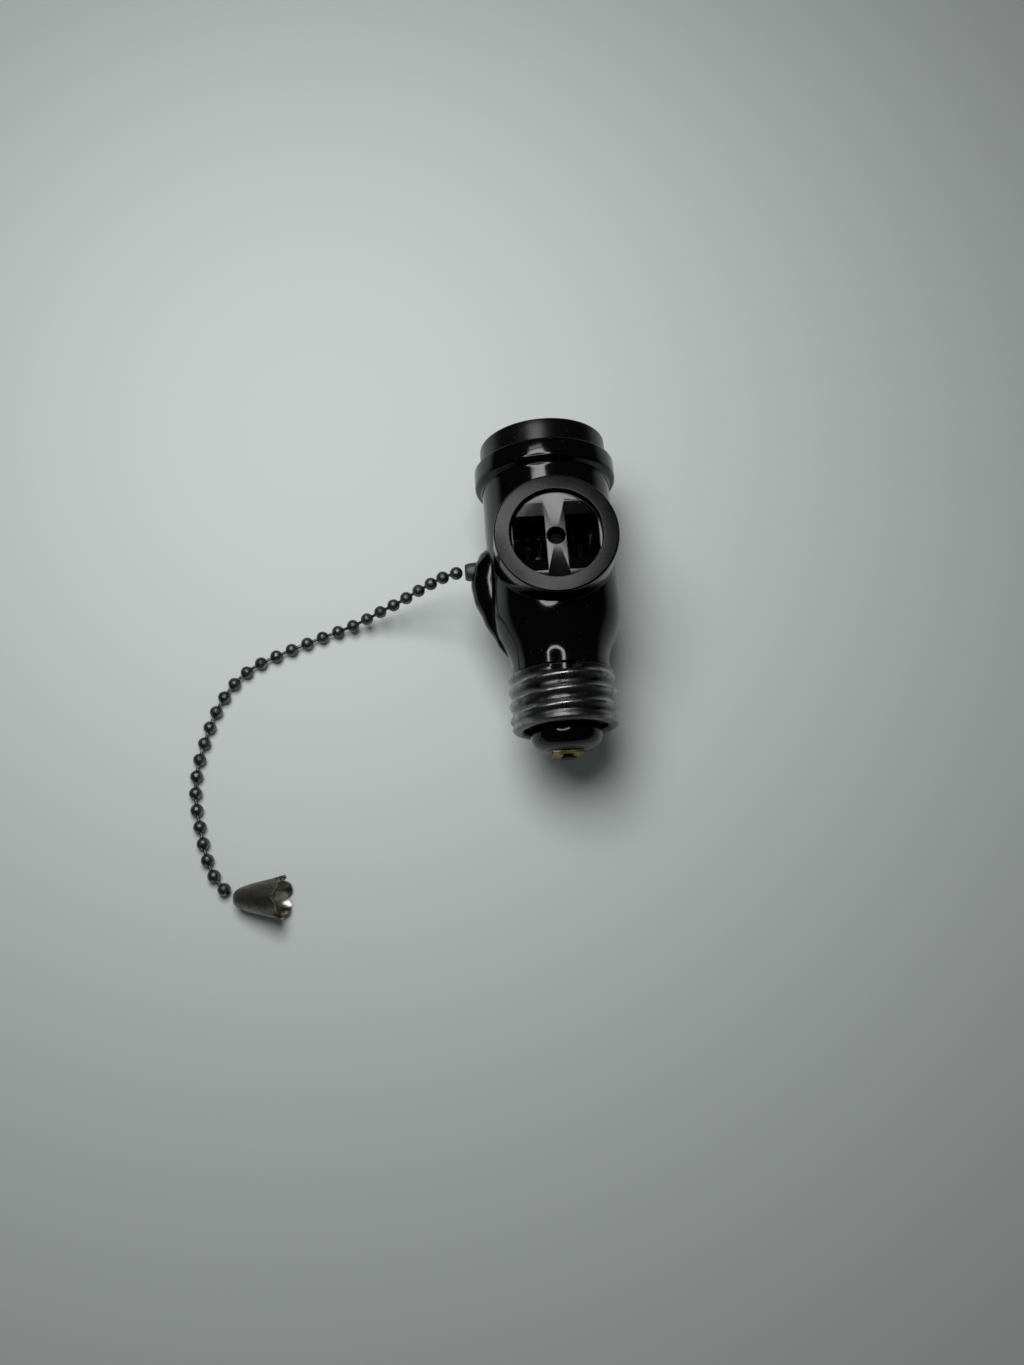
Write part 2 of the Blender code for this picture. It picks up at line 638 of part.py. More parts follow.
def strap_bridge(side):
    """A strap's two legs, one behind each outlet, and the bridge that joins them."""
    inner = STRAP_FACE - STRAP_THICK
    low, high = OUTLET_HEIGHT - 0.0039, LEDGE - 0.0008
    outline = [
        (-STRAP_FACE, low), (-inner, low), (-inner, high - STRAP_THICK),
        (inner, high - STRAP_THICK), (inner, low), (STRAP_FACE, low), (STRAP_FACE, high),
        (-STRAP_FACE, high),
    ]
    near, far = sorted((side * (STRAP_X - STRAP_WIDTH / 2), side * (STRAP_X + STRAP_WIDTH / 2)))
    return extruded(outline, near, far, "X")


def make_straps(axis, brass):
    inner = STRAP_FACE - STRAP_THICK
    near = STRAP_X - STRAP_WIDTH / 2
    far = near + TAIL_WIDTH
    high = OUTLET_HEIGHT - 0.0035
    shell_bore = BASE_THREAD_RADIUS - BASE_SHELL_WALL
    foot_reach = math.sqrt((shell_bore - GAP) ** 2 - STRAP_FACE ** 2)
    neutral = link("neutral_bus_strap", strap_bridge(-1), brass, axis)
    add(
        neutral,
        box((-far, -STRAP_FACE, NEUTRAL_FOOT), (-near, -inner, high)),
        box(
            (-foot_reach, -STRAP_FACE, NEUTRAL_FOOT),
            (-near, -STRAP_FACE + TAIL_WIDTH, NEUTRAL_FOOT + STRAP_THICK),
        ),
        box((-STRAP_X - 0.001, -0.0006, LEDGE - 0.0012), (-STRAP_X + 0.001, 0.0006, LEDGE + 0.0011)),
    )
    live = link("live_bus_strap", strap_bridge(1), brass, axis)
    add(
        live,
        box((near, -STRAP_FACE, LIVE_FOOT), (far, -inner, high)),
        box((-0.0016, -STRAP_FACE, LIVE_FOOT), (far, 0.0016, LIVE_FOOT + STRAP_THICK)),
    )


# ---- switch ----
def make_frame(axis, steel, brass):
    """Two plates on the outlets' rivet, with the shaft and the posts between them."""
    left, right, neck = PIVOT_X - 0.0017, 0.0025, 0.0034
    bottom = PIVOT_HEIGHT - 0.0049
    outline = [
        (left, bottom), (right, bottom), (neck, PIVOT_HEIGHT + 0.0045), (neck, OUTLET_HEIGHT + 0.0031),
        (-neck, OUTLET_HEIGHT + 0.0031), (-neck, PIVOT_HEIGHT + 0.0057), (left, PIVOT_HEIGHT + 0.0039),
    ]
    for face, name in ((-1, "switch_plate_front"), (1, "switch_plate_back")):
        low, high = sorted((face * PLATE_INNER, face * (PLATE_INNER + PLATE_THICK)))
        plate = link(name, extruded(outline, low, high, "Y"), steel, axis)
        over_low, over_high = low - 0.001, high + 0.001
        cut(
            plate,
            rod(RIVET_RADIUS + GAP, over_low, over_high, "Y", (0, OUTLET_HEIGHT), TINY_STEPS),
            rod(SHAFT_RADIUS + GAP, over_low, over_high, "Y", (PIVOT_X, PIVOT_HEIGHT), TINY_STEPS),
        )
    post = PLATE_INNER - GAP
    for name, radius, x, z in (
        ("frame_post", 0.0010, -0.0008, PIVOT_HEIGHT - 0.0020),
        ("spring_post", 0.0008, SPRING_POST_X, SPRING_HEIGHT),
    ):
        link(name, rod(radius, -post, post, "Y", steps=TINY_STEPS), steel, axis, (x, 0, z))

    head = OUTLET_REACH - RECESS_DEPTH - RIVET_WELL_DEPTH + GAP
    profile = [
        (0, -head - RIVET_HEAD), (RIVET_HEAD_RADIUS - 0.0004, -head - RIVET_HEAD),
        (RIVET_HEAD_RADIUS, -head - 0.0003), (RIVET_HEAD_RADIUS, -head), (RIVET_RADIUS, -head),
    ]
    profile += [(reach, -level) for reach, level in profile[::-1]]
    link(
        "outlet_rivet", lathe(profile, 16), steel, axis, (0, 0, OUTLET_HEIGHT), (math.pi / 2, 0, 0)
    )
    make_switch_contacts(axis, brass)


def make_switch_contacts(axis, brass):
    foot = PIVOT_HEIGHT - 0.0050
    sheet = STRAP_THICK / 2
    root, tip = foot + sheet + GAP, foot + 0.0101
    leaf = [
        (-sheet / 2, 0), (sheet / 2, 0), (sheet / 2, tip - 0.0014 - root),
        (sheet / 2 + BUTTON, tip - 0.0014 - root), (sheet / 2 + BUTTON, tip - 0.0004 - root),
        (sheet / 2, tip - 0.0004 - root), (sheet / 2, tip - root), (-sheet / 2, tip - root),
    ]
    leaf_root = empty("leaf_pivot", axis, (LEAF_X + sheet / 2, 0, root))
    link("moving_contact_leaf", extruded(leaf, -0.0015, 0.0015, "Y"), brass, leaf_root)

    face, shelf = LEAF_X + sheet + BUTTON + GAP, foot + 0.0065
    anvil = [
        (face, shelf), (STRAP_X - 0.001, shelf), (STRAP_X - 0.001, shelf + 0.0006),
        (face + 0.0006, shelf + 0.0006), (face + 0.0006, tip), (face, tip),
    ]
    fixed = link("fixed_contact", extruded(anvil, -0.0015, 0.0015, "Y"), brass, axis)
    inner = STRAP_FACE - STRAP_THICK
    add(fixed, box(
        (STRAP_X - 0.0018, -inner + GAP, shelf), (STRAP_X - 0.001, 0.0010, shelf + 0.0006)
    ))

    edge = STRAP_X + STRAP_WIDTH / 2 + GAP
    riser = [
        (LEAF_X - 0.0006, foot), (edge + STRAP_THICK, foot), (edge + STRAP_THICK, LEDGE),
        (LAMP_TAIL_X - 0.0005, LEDGE), (LAMP_TAIL_X - 0.0005, LEDGE - 0.0005),
        (edge, LEDGE - 0.0005), (edge, foot + sheet), (LEAF_X - 0.0006, foot + sheet),
    ]
    link("lamp_feed_strap", extruded(riser, -0.0012, 0.0012, "Y"), brass, axis)

    under = PIVOT_HEIGHT - WHEEL_RADIUS
    spring = [
        (PIVOT_X - 0.0020, under - 0.0009), (LEAF_X - 0.0008, under - 0.0009),
        (LEAF_X - 0.0008, under - 0.0005), (PIVOT_X + 0.0008, under - 0.0005),
        (PIVOT_X, under - 0.00025), (PIVOT_X - 0.0008, under - 0.0005),
        (PIVOT_X - 0.0020, under - 0.0005),
    ]
    low, high = -PLATE_INNER + GAP, -LEVER_THICK / 2 - 0.0004
    link("detent_spring", extruded(spring, low, high, "Y"), brass, axis)


def make_lever(pivot, steel):
    """The lever, in its own frame: hub on the origin, arm up +Z, pull tab across the arm."""
    half = LEVER_THICK / 2
    reach = LEVER_ARM / math.cos(HALF_SWING)
    arm = [(-0.0012, 0), (0.0012, 0), (0.0012, reach - 0.0018), (-0.0012, reach - 0.0018)]
    lever = link("pull_lever", rod(0.0024, -half, half, "Y"), steel, pivot)
    tab_low, tab_high = reach - 0.0024, reach + 0.0012
    add(lever, extruded(arm, -half, half, "Y"), box((-0.0004, -0.0016, tab_low), (0.0004, 0.0016, tab_high)))
    slot = LINK_RADIUS + SLIDE_GAP
    cut(
        lever,
        rod(SHAFT_RADIUS + GAP, -half - 0.001, half + 0.001, "Y", steps=TINY_STEPS),
        box((-0.0015, -slot, reach - 0.0013), (0.0015, slot, tab_high + 0.001)),
    )
    pin = rod(0.00045, half + GAP, half + 0.0015, "Y", steps=TINY_STEPS)
    link("pawl_pin", pin, steel, pivot, (0, 0, PAWL_PIVOT))


def make_pawl(pivot, steel):
    """The pawl, in its own frame: eye on the origin, finger down to the ratchet wheel."""
    low = LEVER_THICK / 2 + 0.0004
    pawl = link("drive_pawl", rod(0.0012, low, low + WHEEL_THICK, "Y", steps=TINY_STEPS), steel, pivot)
    finger = [(-0.0011, 0.0003), (0.0006, -0.0009), (-0.0018, -0.0030), (-0.0024, -0.0028)]
    add(pawl, extruded(finger, low, low + WHEEL_THICK, "Y"))
    cut(pawl, rod(0.00075, low - 0.001, low + WHEEL_THICK + 0.001, "Y", steps=TINY_STEPS))


def make_rotor(pivot, steel, fibre):
    """Shaft, ratchet wheel and cam, in their own frame, the shaft along Y."""
    end = SLOT_HALF - STRAP_THICK - 0.0005
    link("lever_shaft", rod(SHAFT_RADIUS, -end, end, "Y", steps=TINY_STEPS), steel, pivot)
    low = LEVER_THICK / 2 + 0.0004
    teeth = []
    for tooth in range(WHEEL_TEETH):
        start = 2 * math.pi * tooth / WHEEL_TEETH
        for share, radius in ((0, WHEEL_RADIUS), (0.08, WHEEL_RADIUS - TOOTH_DEPTH)):
            angle = start + 2 * math.pi / WHEEL_TEETH * share
            teeth.append((radius * math.cos(angle), radius * math.sin(angle)))
    wheel = link("ratchet_wheel", extruded(teeth, low, low + WHEEL_THICK, "Y"), steel, pivot)
    lobes = []
    for step in range(CAM_STEPS):
        angle = 2 * math.pi * step / CAM_STEPS
        radius = WHEEL_RADIUS - CAM_NOTCH / 2 * (1 + math.cos(CAM_LOBES * (angle + math.pi / 2)))
        lobes.append((radius * math.cos(angle), radius * math.sin(angle)))
    cam = link("switch_cam", extruded(lobes, -low - WHEEL_THICK, -low, "Y"), fibre, pivot)
    for piece in (wheel, cam):
        cut(piece, rod(SHAFT_RADIUS + GAP, -0.003, 0.003, "Y", steps=TINY_STEPS))


def make_return_spring(axis, steel):
    """A closed-wound spring between the lever's arm and its post, along X."""
    lean = math.tan(HALF_SWING)
    start = PIVOT_X + (SPRING_HEIGHT - PIVOT_HEIGHT) * lean + 0.0012 / math.cos(HALF_SWING) + GAP + SPRING_WIRE
    length = SPRING_POST_X - 0.0008 - GAP - SPRING_WIRE - start
    curve = bpy.data.curves.new("return_spring", "CURVE")
    curve.dimensions = "3D"
    curve.bevel_depth = SPRING_WIRE
    curve.bevel_resolution = 1
    curve.use_fill_caps = True
    count = SPRING_TURNS * 10 + 1
    line = curve.splines.new("POLY")
    line.points.add(count - 1)
    for index in range(count):
        angle = 2 * math.pi * index / 10
        x = start + length * index / (count - 1)
        place = (x, SPRING_RADIUS * math.cos(angle), SPRING_RADIUS * math.sin(angle))
        line.points[index].co = (*place, 1)
    curve.materials.append(steel)
    spring = bpy.data.objects.new("return_spring", curve)
    spring.parent = axis
    spring.location = (0, 0, SPRING_HEIGHT)
    bpy.context.scene.collection.objects.link(spring)


# ---- chain ----


def make_bushing(axis, nickel):
    """A rounded metal bushing that the chain runs over, its axis along -X."""
    bore = BEAD_RADIUS + SLIDE_GAP
    start, nose = CHAMBER_RADIUS + 0.0006, 0.0017
    profile = [(bore, start), (BUSHING_OUTER, start), (BUSHING_OUTER, BUSHING_REACH - nose)]
    for step in range(1, 6):
        angle = math.pi / 2 * step / 6
        profile.append((
            bore + 0.0001 + (BUSHING_WALL - 0.0001) * math.cos(angle),
            BUSHING_REACH - nose + nose * math.sin(angle),
        ))
    profile += [(bore + 0.0001, BUSHING_REACH), (bore, BUSHING_REACH - 0.0003)]
    link(
        "chain_guide_bushing", lathe(profile, SMALL_STEPS), nickel, axis, (0, 0, OUTLET_HEIGHT),
        (0, -math.pi / 2, 0),
    )


def bead(radius, centre, rings=6):
    """Profile points of a bead on the chain's link."""
    start = math.asin(LINK_RADIUS / radius)
    angles = [start + (math.pi - 2 * start) * step / rings for step in range(rings + 1)]
    return [(radius * math.sin(angle), centre - radius * math.cos(angle)) for angle in angles]


def make_inner_chain(axis, nickel):
    """The chain inside the body: an end stop behind the lever's tab, a link through its slot, and
    the beads that run out through the bushing. Turned about its own line, heights towards -X."""
    stop = -TAB_X - 0.00042 - GAP - END_STOP_RADIUS * 1.05
    first_out = -CHAIN_ROUTE[0][0] + AXIS_X + BEAD_RADIUS + 0.0002
    profile = [(0, stop - END_STOP_RADIUS)] + bead(END_STOP_RADIUS, stop)[1:]
    inside = [first_out - BEAD_PITCH * count for count in range(3, 0, -1)]
    for centre in inside:
        profile += bead(BEAD_RADIUS, centre)
    end = BUSHING_REACH - GAP / 2
    profile += [(LINK_RADIUS, end), (0, end)]
    link(
        "inner_chain", lathe(profile, TINY_STEPS), nickel, axis, (0, 0, OUTLET_HEIGHT),
        (0, -math.pi / 2, 0),
    )


def smooth_route(points, spacing):
    """Evenly spaced points on a Catmull-Rom curve through the route's points."""
    knots = [Vector(point) for point in points]
    knots = [2 * knots[0] - knots[1]] + knots + [2 * knots[-1] - knots[-2]]
    fine = []
    for before, start, end, after in zip(knots, knots[1:], knots[2:], knots[3:]):
        for step in range(12):
            t = step / 12
            fine.append(0.5 * (
                2 * start + (end - before) * t + (2 * before - 5 * start + 4 * end - after) * t ** 2
                + (3 * start - before - 3 * end + after) * t ** 3
            ))
    fine.append(knots[-2])
    lengths = [0.0]
    for start, end in zip(fine, fine[1:]):
        lengths.append(lengths[-1] + (end - start).length)
    count = round(lengths[-1] / spacing)
    made, index = [], 0
    for step in range(count + 1):
        target = lengths[-1] * step / count
        while index < len(fine) - 2 and lengths[index + 1] < target:
            index += 1
        share = (target - lengths[index]) / (lengths[index + 1] - lengths[index])
        made.append(fine[index].lerp(fine[index + 1], share))
    return made


def make_chain(nickel):
    """The chain's free run, as a plain tube as thick as a bead."""
    route = [Vector(point) for point in CHAIN_ROUTE]
    route[0] = Vector((AXIS_X - BUSHING_REACH - 2 * GAP, AXIS_Y + OUTLET_HEIGHT, OUTLET_REACH))
    points = smooth_route(route, BEAD_RADIUS * 4)
    curve = bpy.data.curves.new("pull_chain", "CURVE")
    curve.dimensions = "3D"
    curve.bevel_depth = BEAD_RADIUS
    curve.bevel_resolution = 2
    curve.use_fill_caps = True
    line = curve.splines.new("POLY")
    line.points.add(len(points) - 1)
    for point, place in zip(line.points, points):
        point.co = (*place, 1)
    curve.materials.append(nickel)
    made = bpy.data.objects.new("pull_chain", curve)
    bpy.context.scene.collection.objects.link(made)


def bell_radius(share):
    """The bell's outside radius along its length: a rounded crown that opens ever more slowly."""
    return BELL_APEX_RADIUS + (BELL_MOUTH_RADIUS - BELL_APEX_RADIUS) * share ** 0.62


def make_bell(nickel):
    """The sheet-metal bell at the chain's end, lying on its side on the table."""
    def level(share):
        def at(angle):
            scallop = BELL_SCALLOP * (1 - abs(math.sin(BELL_PETALS / 2 * angle))) ** 1.5
            return share * BELL_LENGTH - scallop * max(0, (share - 0.55) / 0.45)
        return at

    shares = (0, 0.05, 0.12, 0.22, 0.35, 0.5, 0.65, 0.8, 0.92, 1)
    outside = [(bell_radius(share), level(share)) for share in shares]
    inside = [
        (bell_radius(share) - BELL_SHEET, level(share)) for share in shares[::-1] if share > 0.1
    ]
    apex = [(BEAD_RADIUS * 0.55, BELL_SHEET * 1.6), (BEAD_RADIUS * 0.55, 0)]
    rest = max(
        bell_radius(share) * math.cos(BELL_TILT) - level(share)(0) * math.sin(BELL_TILT)
        for share in (step / 40 for step in range(41))
    )
    turn = (0, math.pi / 2 - BELL_TILT, BELL_HEADING)
    link(
        "bell_pull", lathe(outside + inside + apex, 36), nickel, None,
        (*BELL_APEX, rest + FLOOR_GAP), turn,
    )


def main():
    for old in list(bpy.data.objects):
        bpy.data.objects.remove(old, do_unlink=True)
    phenolic = finish("black_phenolic", (0.006, 0.006, 0.007), 0.12)
    aluminium = finish("rolled_aluminium", (0.62, 0.63, 0.64), 0.35, 1.0)
    brass = finish("brass_strip", (0.62, 0.45, 0.20), 0.30, 1.0)
    steel = finish("zinc_plated_steel", (0.45, 0.45, 0.46), 0.40, 1.0)
    fibre = finish("vulcanised_fibre", (0.16, 0.07, 0.04), 0.65)
    nickel = finish("nickelled_steel", (0.30, 0.30, 0.29), 0.35, 1.0)

    axis = empty("adapter_axis", None, (AXIS_X, AXIS_Y, OUTLET_REACH), (-math.pi / 2, 0, 0))
    make_body(axis, phenolic)
    make_collar(axis, phenolic)
    make_socket_shell(axis, aluminium)
    make_socket_floor(axis, fibre, brass, steel)
    make_base_shell(axis, aluminium)
    make_base(axis, phenolic, brass)
    make_clips(axis, brass)
    make_straps(axis, brass)
    make_frame(axis, steel, brass)
    make_return_spring(axis, steel)
    make_bushing(axis, nickel)

    shaft = (PIVOT_X, 0, PIVOT_HEIGHT)
    lever_pivot = empty("lever_pivot", axis, shaft, (0, HALF_SWING, 0))
    make_lever(lever_pivot, steel)
    make_pawl(empty("pawl_pivot", lever_pivot, (0, 0, PAWL_PIVOT)), steel)
    make_rotor(empty("rotor_pivot", axis, shaft), steel, fibre)

    make_inner_chain(axis, nickel)
    make_chain(nickel)
    make_bell(nickel)


main()
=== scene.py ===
import json
import math

import bpy
from mathutils import Matrix, Vector


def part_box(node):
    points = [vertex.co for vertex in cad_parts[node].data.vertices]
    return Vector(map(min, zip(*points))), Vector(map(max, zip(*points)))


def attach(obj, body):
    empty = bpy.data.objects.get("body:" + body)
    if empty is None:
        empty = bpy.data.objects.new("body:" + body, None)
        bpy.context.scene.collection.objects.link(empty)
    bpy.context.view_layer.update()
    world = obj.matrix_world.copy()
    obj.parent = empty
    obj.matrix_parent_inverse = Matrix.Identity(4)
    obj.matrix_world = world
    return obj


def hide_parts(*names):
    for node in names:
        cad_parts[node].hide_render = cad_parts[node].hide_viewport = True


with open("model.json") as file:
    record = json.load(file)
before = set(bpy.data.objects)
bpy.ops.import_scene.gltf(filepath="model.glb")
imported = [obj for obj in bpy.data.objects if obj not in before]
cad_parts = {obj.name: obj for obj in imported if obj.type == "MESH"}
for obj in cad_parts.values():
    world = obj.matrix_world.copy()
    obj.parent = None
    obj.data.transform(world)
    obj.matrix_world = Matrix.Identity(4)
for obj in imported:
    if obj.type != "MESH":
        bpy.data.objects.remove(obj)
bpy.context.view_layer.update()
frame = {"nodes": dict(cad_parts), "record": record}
mm = 0.001

# places read from the frame: the adapter's axis runs along +Y at axisX, axisZ, and heights along it
# are counted in mm from the rim of the screw base
collarLow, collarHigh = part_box("mouth_collar")
housingLow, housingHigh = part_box("body_housing")
rivetLow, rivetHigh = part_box("outlet_rivet")
bushLow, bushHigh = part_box("chain_guide_bushing")
axisX = (collarLow.x + collarHigh.x) / 2
axisZ = (housingLow.z + housingHigh.z) / 2
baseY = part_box("base_screw_shell")[0].y
outletY = (rivetLow.y + rivetHigh.y) / 2
print("frame loaded, axis at", round(axisX / mm, 2), round(axisZ / mm, 2))


# camera

cameraView = {
    "place": (-0.01903, -0.0887, 0.2672),
    "turn": (15.416, -0.754, -4.094),
    "lens": 27.03,
}
lens = bpy.data.cameras.new("camera")
lens.lens = cameraView["lens"]
lens.clip_start = 0.01
camera = bpy.data.objects.new("camera", lens)
camera.location = cameraView["place"]
camera.rotation_euler = [math.radians(angle) for angle in cameraView["turn"]]
bpy.context.scene.collection.objects.link(camera)
bpy.context.scene.camera = camera
print("camera placed")


# small helpers

def clearSelection():
    if bpy.context.object and bpy.context.object.mode != "OBJECT":
        bpy.ops.object.mode_set(mode="OBJECT")
    bpy.ops.object.select_all(action="DESELECT")


def pick(piece):
    clearSelection()
    piece.select_set(True)
    bpy.context.view_layer.objects.active = piece


def linear(code):
    # an sRGB hex code as linear red, green, blue and alpha
    parts = [int(code[i:i + 2], 16) / 255 for i in (1, 3, 5)]
    return [p / 12.92 if p <= 0.04045 else ((p + 0.055) / 1.055) ** 2.4 for p in parts] + [1.0]


def newMaterial(name, colour, roughness, metallic=0.0):
    made = bpy.data.materials.new(name)
    made.use_nodes = True
    shader = made.node_tree.nodes["Principled BSDF"]
    shader.inputs["Base Color"].default_value = linear(colour)
    shader.inputs["Roughness"].default_value = roughness
    shader.inputs["Metallic"].default_value = metallic
    return made, shader


def addNode(made, kind, values=None, wires=None, **settings):
    # one node with its settings, its socket values and the sockets that feed it
    node = made.node_tree.nodes.new(kind)
    for key, value in settings.items():
        setattr(node, key, value)
    for key, value in (values or {}).items():
        node.inputs[key].default_value = value
    for key, source in (wires or {}).items():
        made.node_tree.links.new(source, node.inputs[key])
    return node


def wire(made, source, socket):
    made.node_tree.links.new(source, socket)


def setStops(ramp, *stops):
    # colour stops of a ramp, as place and hex colour
    while len(ramp.color_ramp.elements) > len(stops):
        ramp.color_ramp.elements.remove(ramp.color_ramp.elements[-1])
    while len(ramp.color_ramp.elements) < len(stops):
        ramp.color_ramp.elements.new(0.5)
    for element, (place, code) in zip(ramp.color_ramp.elements, stops):
        element.position = place
        element.color = linear(code)


def perMillimetre(size):
    # noise scale, in Object coordinates of a metre, whose features are this many mm across
    return 1 / (size * mm)


def addNoise(made, place, size, detail):
    # noise whose features are this many mm across
    scale = {"Scale": perMillimetre(size), "Detail": detail}
    return addNode(made, "ShaderNodeTexNoise", scale, {"Vector": place})


# materials

def makePhenolic(name, gloss, spread, colour, bevel=0.3):
    # black phenolic, compression moulded in a polished die: hard gloss with a faint orange peel,
    # slow flow marks in the gloss, and a little pale dust
    made, shader = newMaterial(name, colour, gloss)
    shader.inputs["IOR"].default_value = 1.55
    shader.inputs["Specular IOR Level"].default_value = 0.38
    place = addNode(made, "ShaderNodeTexCoord").outputs["Object"]
    flow = addNoise(made, place, 9, 4.0)
    fine = addNoise(made, place, 0.8, 3.0)
    blend = addNode(made, "ShaderNodeMath", {1: 0.35}, {0: fine.outputs[0]}, operation="MULTIPLY")
    total = addNode(made, "ShaderNodeMath", None, {0: flow.outputs[0], 1: blend.outputs[0]}, operation="ADD")
    rough = addNode(
        made, "ShaderNodeMapRange",
        {"From Min": 0.35, "From Max": 0.95, "To Min": gloss - spread, "To Max": gloss + spread},
        {"Value": total.outputs[0]},
    )
    dust = addNoise(made, place, 0.5, 1.0)
    speck = addNode(
        made, "ShaderNodeMapRange", {"From Min": 0.74, "From Max": 0.80, "To Min": 0.0, "To Max": 0.5},
        {"Value": dust.outputs[0]},
    )
    tint = addNode(
        made, "ShaderNodeMix", {"B": linear("#4A4945")}, {"Factor": speck.outputs[0]}, data_type="RGBA"
    )
    tint.inputs["A"].default_value = linear(colour)
    wire(made, tint.outputs["Result"], shader.inputs["Base Color"])
    dusty = addNode(
        made, "ShaderNodeMath", {1: 0.6}, {0: speck.outputs[0], 2: rough.outputs[0]},
        operation="MULTIPLY_ADD",
    )
    wire(made, dusty.outputs[0], shader.inputs["Roughness"])
    # moulded corners are 0.3 mm round, drawn in the shading
    edge = addNode(made, "ShaderNodeBevel", {"Radius": bevel * mm}, samples=6)
    peel = addNoise(made, place, 1.6, 2.0)
    bump = addNode(
        made, "ShaderNodeBump", {"Strength": 0.12, "Distance": 0.03 * mm},
        {"Height": peel.outputs[0], "Normal": edge.outputs[0]},
    )
    wire(made, bump.outputs[0], shader.inputs["Normal"])
    return made


def makeRolledAluminium():
    # half-hard aluminium sheet, rolled into a thread: satin, with fine lines round it from the rolls,
    # greasy smudges, small dents from being screwed in, and painted shade in the thread grooves
    made, shader = newMaterial("rolledAluminium", "#C4C6C8", 0.3, 1.0)
    place = addNode(made, "ShaderNodeTexCoord").outputs["Object"]
    drawn = addNode(made, "ShaderNodeMapping", {"Scale": (1.0, 14.0, 1.0)}, {"Vector": place})
    lines = addNoise(made, drawn.outputs[0], 2.2, 5.0)
    smudge = addNode(
        made, "ShaderNodeTexNoise", {"Scale": perMillimetre(3.0), "Detail": 4.0, "Roughness": 0.6},
        {"Vector": place},
    )
    dent = addNoise(made, place, 1.1, 2.0)
    tone = addNode(made, "ShaderNodeValToRGB", None, {"Fac": smudge.outputs[0]})
    setStops(tone, (0.32, "#6E6A63"), (0.47, "#9C9E9E"), (0.70, "#B2B5B6"))
    # how far a point stands from the adapter's axis tells crest from groove; the grooves are darkened as
    # painted shade
    centred = addNode(
        made, "ShaderNodeVectorMath", {1: (-axisX, 0.0, -axisZ)}, {0: place}, operation="ADD"
    )
    flat = addNode(
        made, "ShaderNodeVectorMath", {1: (1.0, 0.0, 1.0)}, {0: centred.outputs[0]}, operation="MULTIPLY"
    )
    away = addNode(made, "ShaderNodeVectorMath", None, {0: flat.outputs[0]}, operation="LENGTH")
    grooveShade = addNode(
        made, "ShaderNodeMapRange",
        {"From Min": 12.6 * mm, "From Max": 13.2 * mm, "To Min": 1.5, "To Max": 0.0},
        {"Value": away.outputs["Value"]},
    )
    patchyGrooveShade = addNode(
        made, "ShaderNodeMath", None, {0: grooveShade.outputs[0], 1: smudge.outputs[0]}, operation="MULTIPLY"
    )
    # painted shade: the grooves are mixed towards dark grey-brown, broken up by the smudge pattern
    grooveShaded = addNode(
        made, "ShaderNodeMix", {"B": linear("#3E3B36")}, {"Factor": patchyGrooveShade.outputs[0], "A": tone.outputs[0]},
        data_type="RGBA",
    )
    wire(made, grooveShaded.outputs["Result"], shader.inputs["Base Color"])
    rough = addNode(
        made, "ShaderNodeMapRange", {"From Min": 0.3, "From Max": 0.7, "To Min": 0.42, "To Max": 0.22},
        {"Value": smudge.outputs[0]},
    )
    wire(made, rough.outputs[0], shader.inputs["Roughness"])
    shallow = addNode(
        made, "ShaderNodeBump", {"Strength": 0.35, "Distance": 0.02 * mm}, {"Height": lines.outputs[0]}
    )
    bump = addNode(
        made, "ShaderNodeBump", {"Strength": 0.5, "Distance": 0.10 * mm},
        {"Height": dent.outputs[0], "Normal": shallow.outputs[0]},
    )
    wire(made, bump.outputs[0], shader.inputs["Normal"])
    return made


def makeMetal(name, dark, middle, light, rough, grain, bumpDepth):
    # bare or plated sheet metal: tarnish in slow patches and a fine pressed grain
    made, shader = newMaterial(name, middle, sum(rough) / 2, 1.0)
    place = addNode(made, "ShaderNodeTexCoord").outputs["Object"]
    patch = addNode(
        made, "ShaderNodeTexNoise", {"Scale": perMillimetre(grain * 6), "Detail": 4.0, "Roughness": 0.6},
        {"Vector": place},
    )
    fine = addNoise(made, place, grain, 3.0)
    tone = addNode(made, "ShaderNodeValToRGB", None, {"Fac": patch.outputs[0]})
    setStops(tone, (0.32, dark), (0.5, middle), (0.68, light))
    wire(made, tone.outputs[0], shader.inputs["Base Color"])
    worn = addNode(
        made, "ShaderNodeMapRange",
        {"From Min": 0.3, "From Max": 0.7, "To Min": rough[1], "To Max": rough[0]},
        {"Value": patch.outputs[0]},
    )
    wire(made, worn.outputs[0], shader.inputs["Roughness"])
    bump = addNode(
        made, "ShaderNodeBump", {"Strength": 0.4, "Distance": bumpDepth * mm}, {"Height": fine.outputs[0]}
    )
    wire(made, bump.outputs[0], shader.inputs["Normal"])
    return made


def makeFibre():
    # vulcanised fibre board, punched: matt red-brown with a pressed paper grain
    made, shader = newMaterial("vulcanisedFibre", "#5A3020", 0.7)
    place = addNode(made, "ShaderNodeTexCoord").outputs["Object"]
    grain = addNode(
        made, "ShaderNodeTexNoise", {"Scale": perMillimetre(0.7), "Detail": 5.0, "Roughness": 0.7},
        {"Vector": place},
    )
    tone = addNode(made, "ShaderNodeValToRGB", None, {"Fac": grain.outputs[0]})
    setStops(tone, (0.3, "#42211A"), (0.7, "#6E3F2B"))
    wire(made, tone.outputs[0], shader.inputs["Base Color"])
    bump = addNode(
        made, "ShaderNodeBump", {"Strength": 0.3, "Distance": 0.03 * mm}, {"Height": grain.outputs[0]}
    )
    wire(made, bump.outputs[0], shader.inputs["Normal"])
    return made


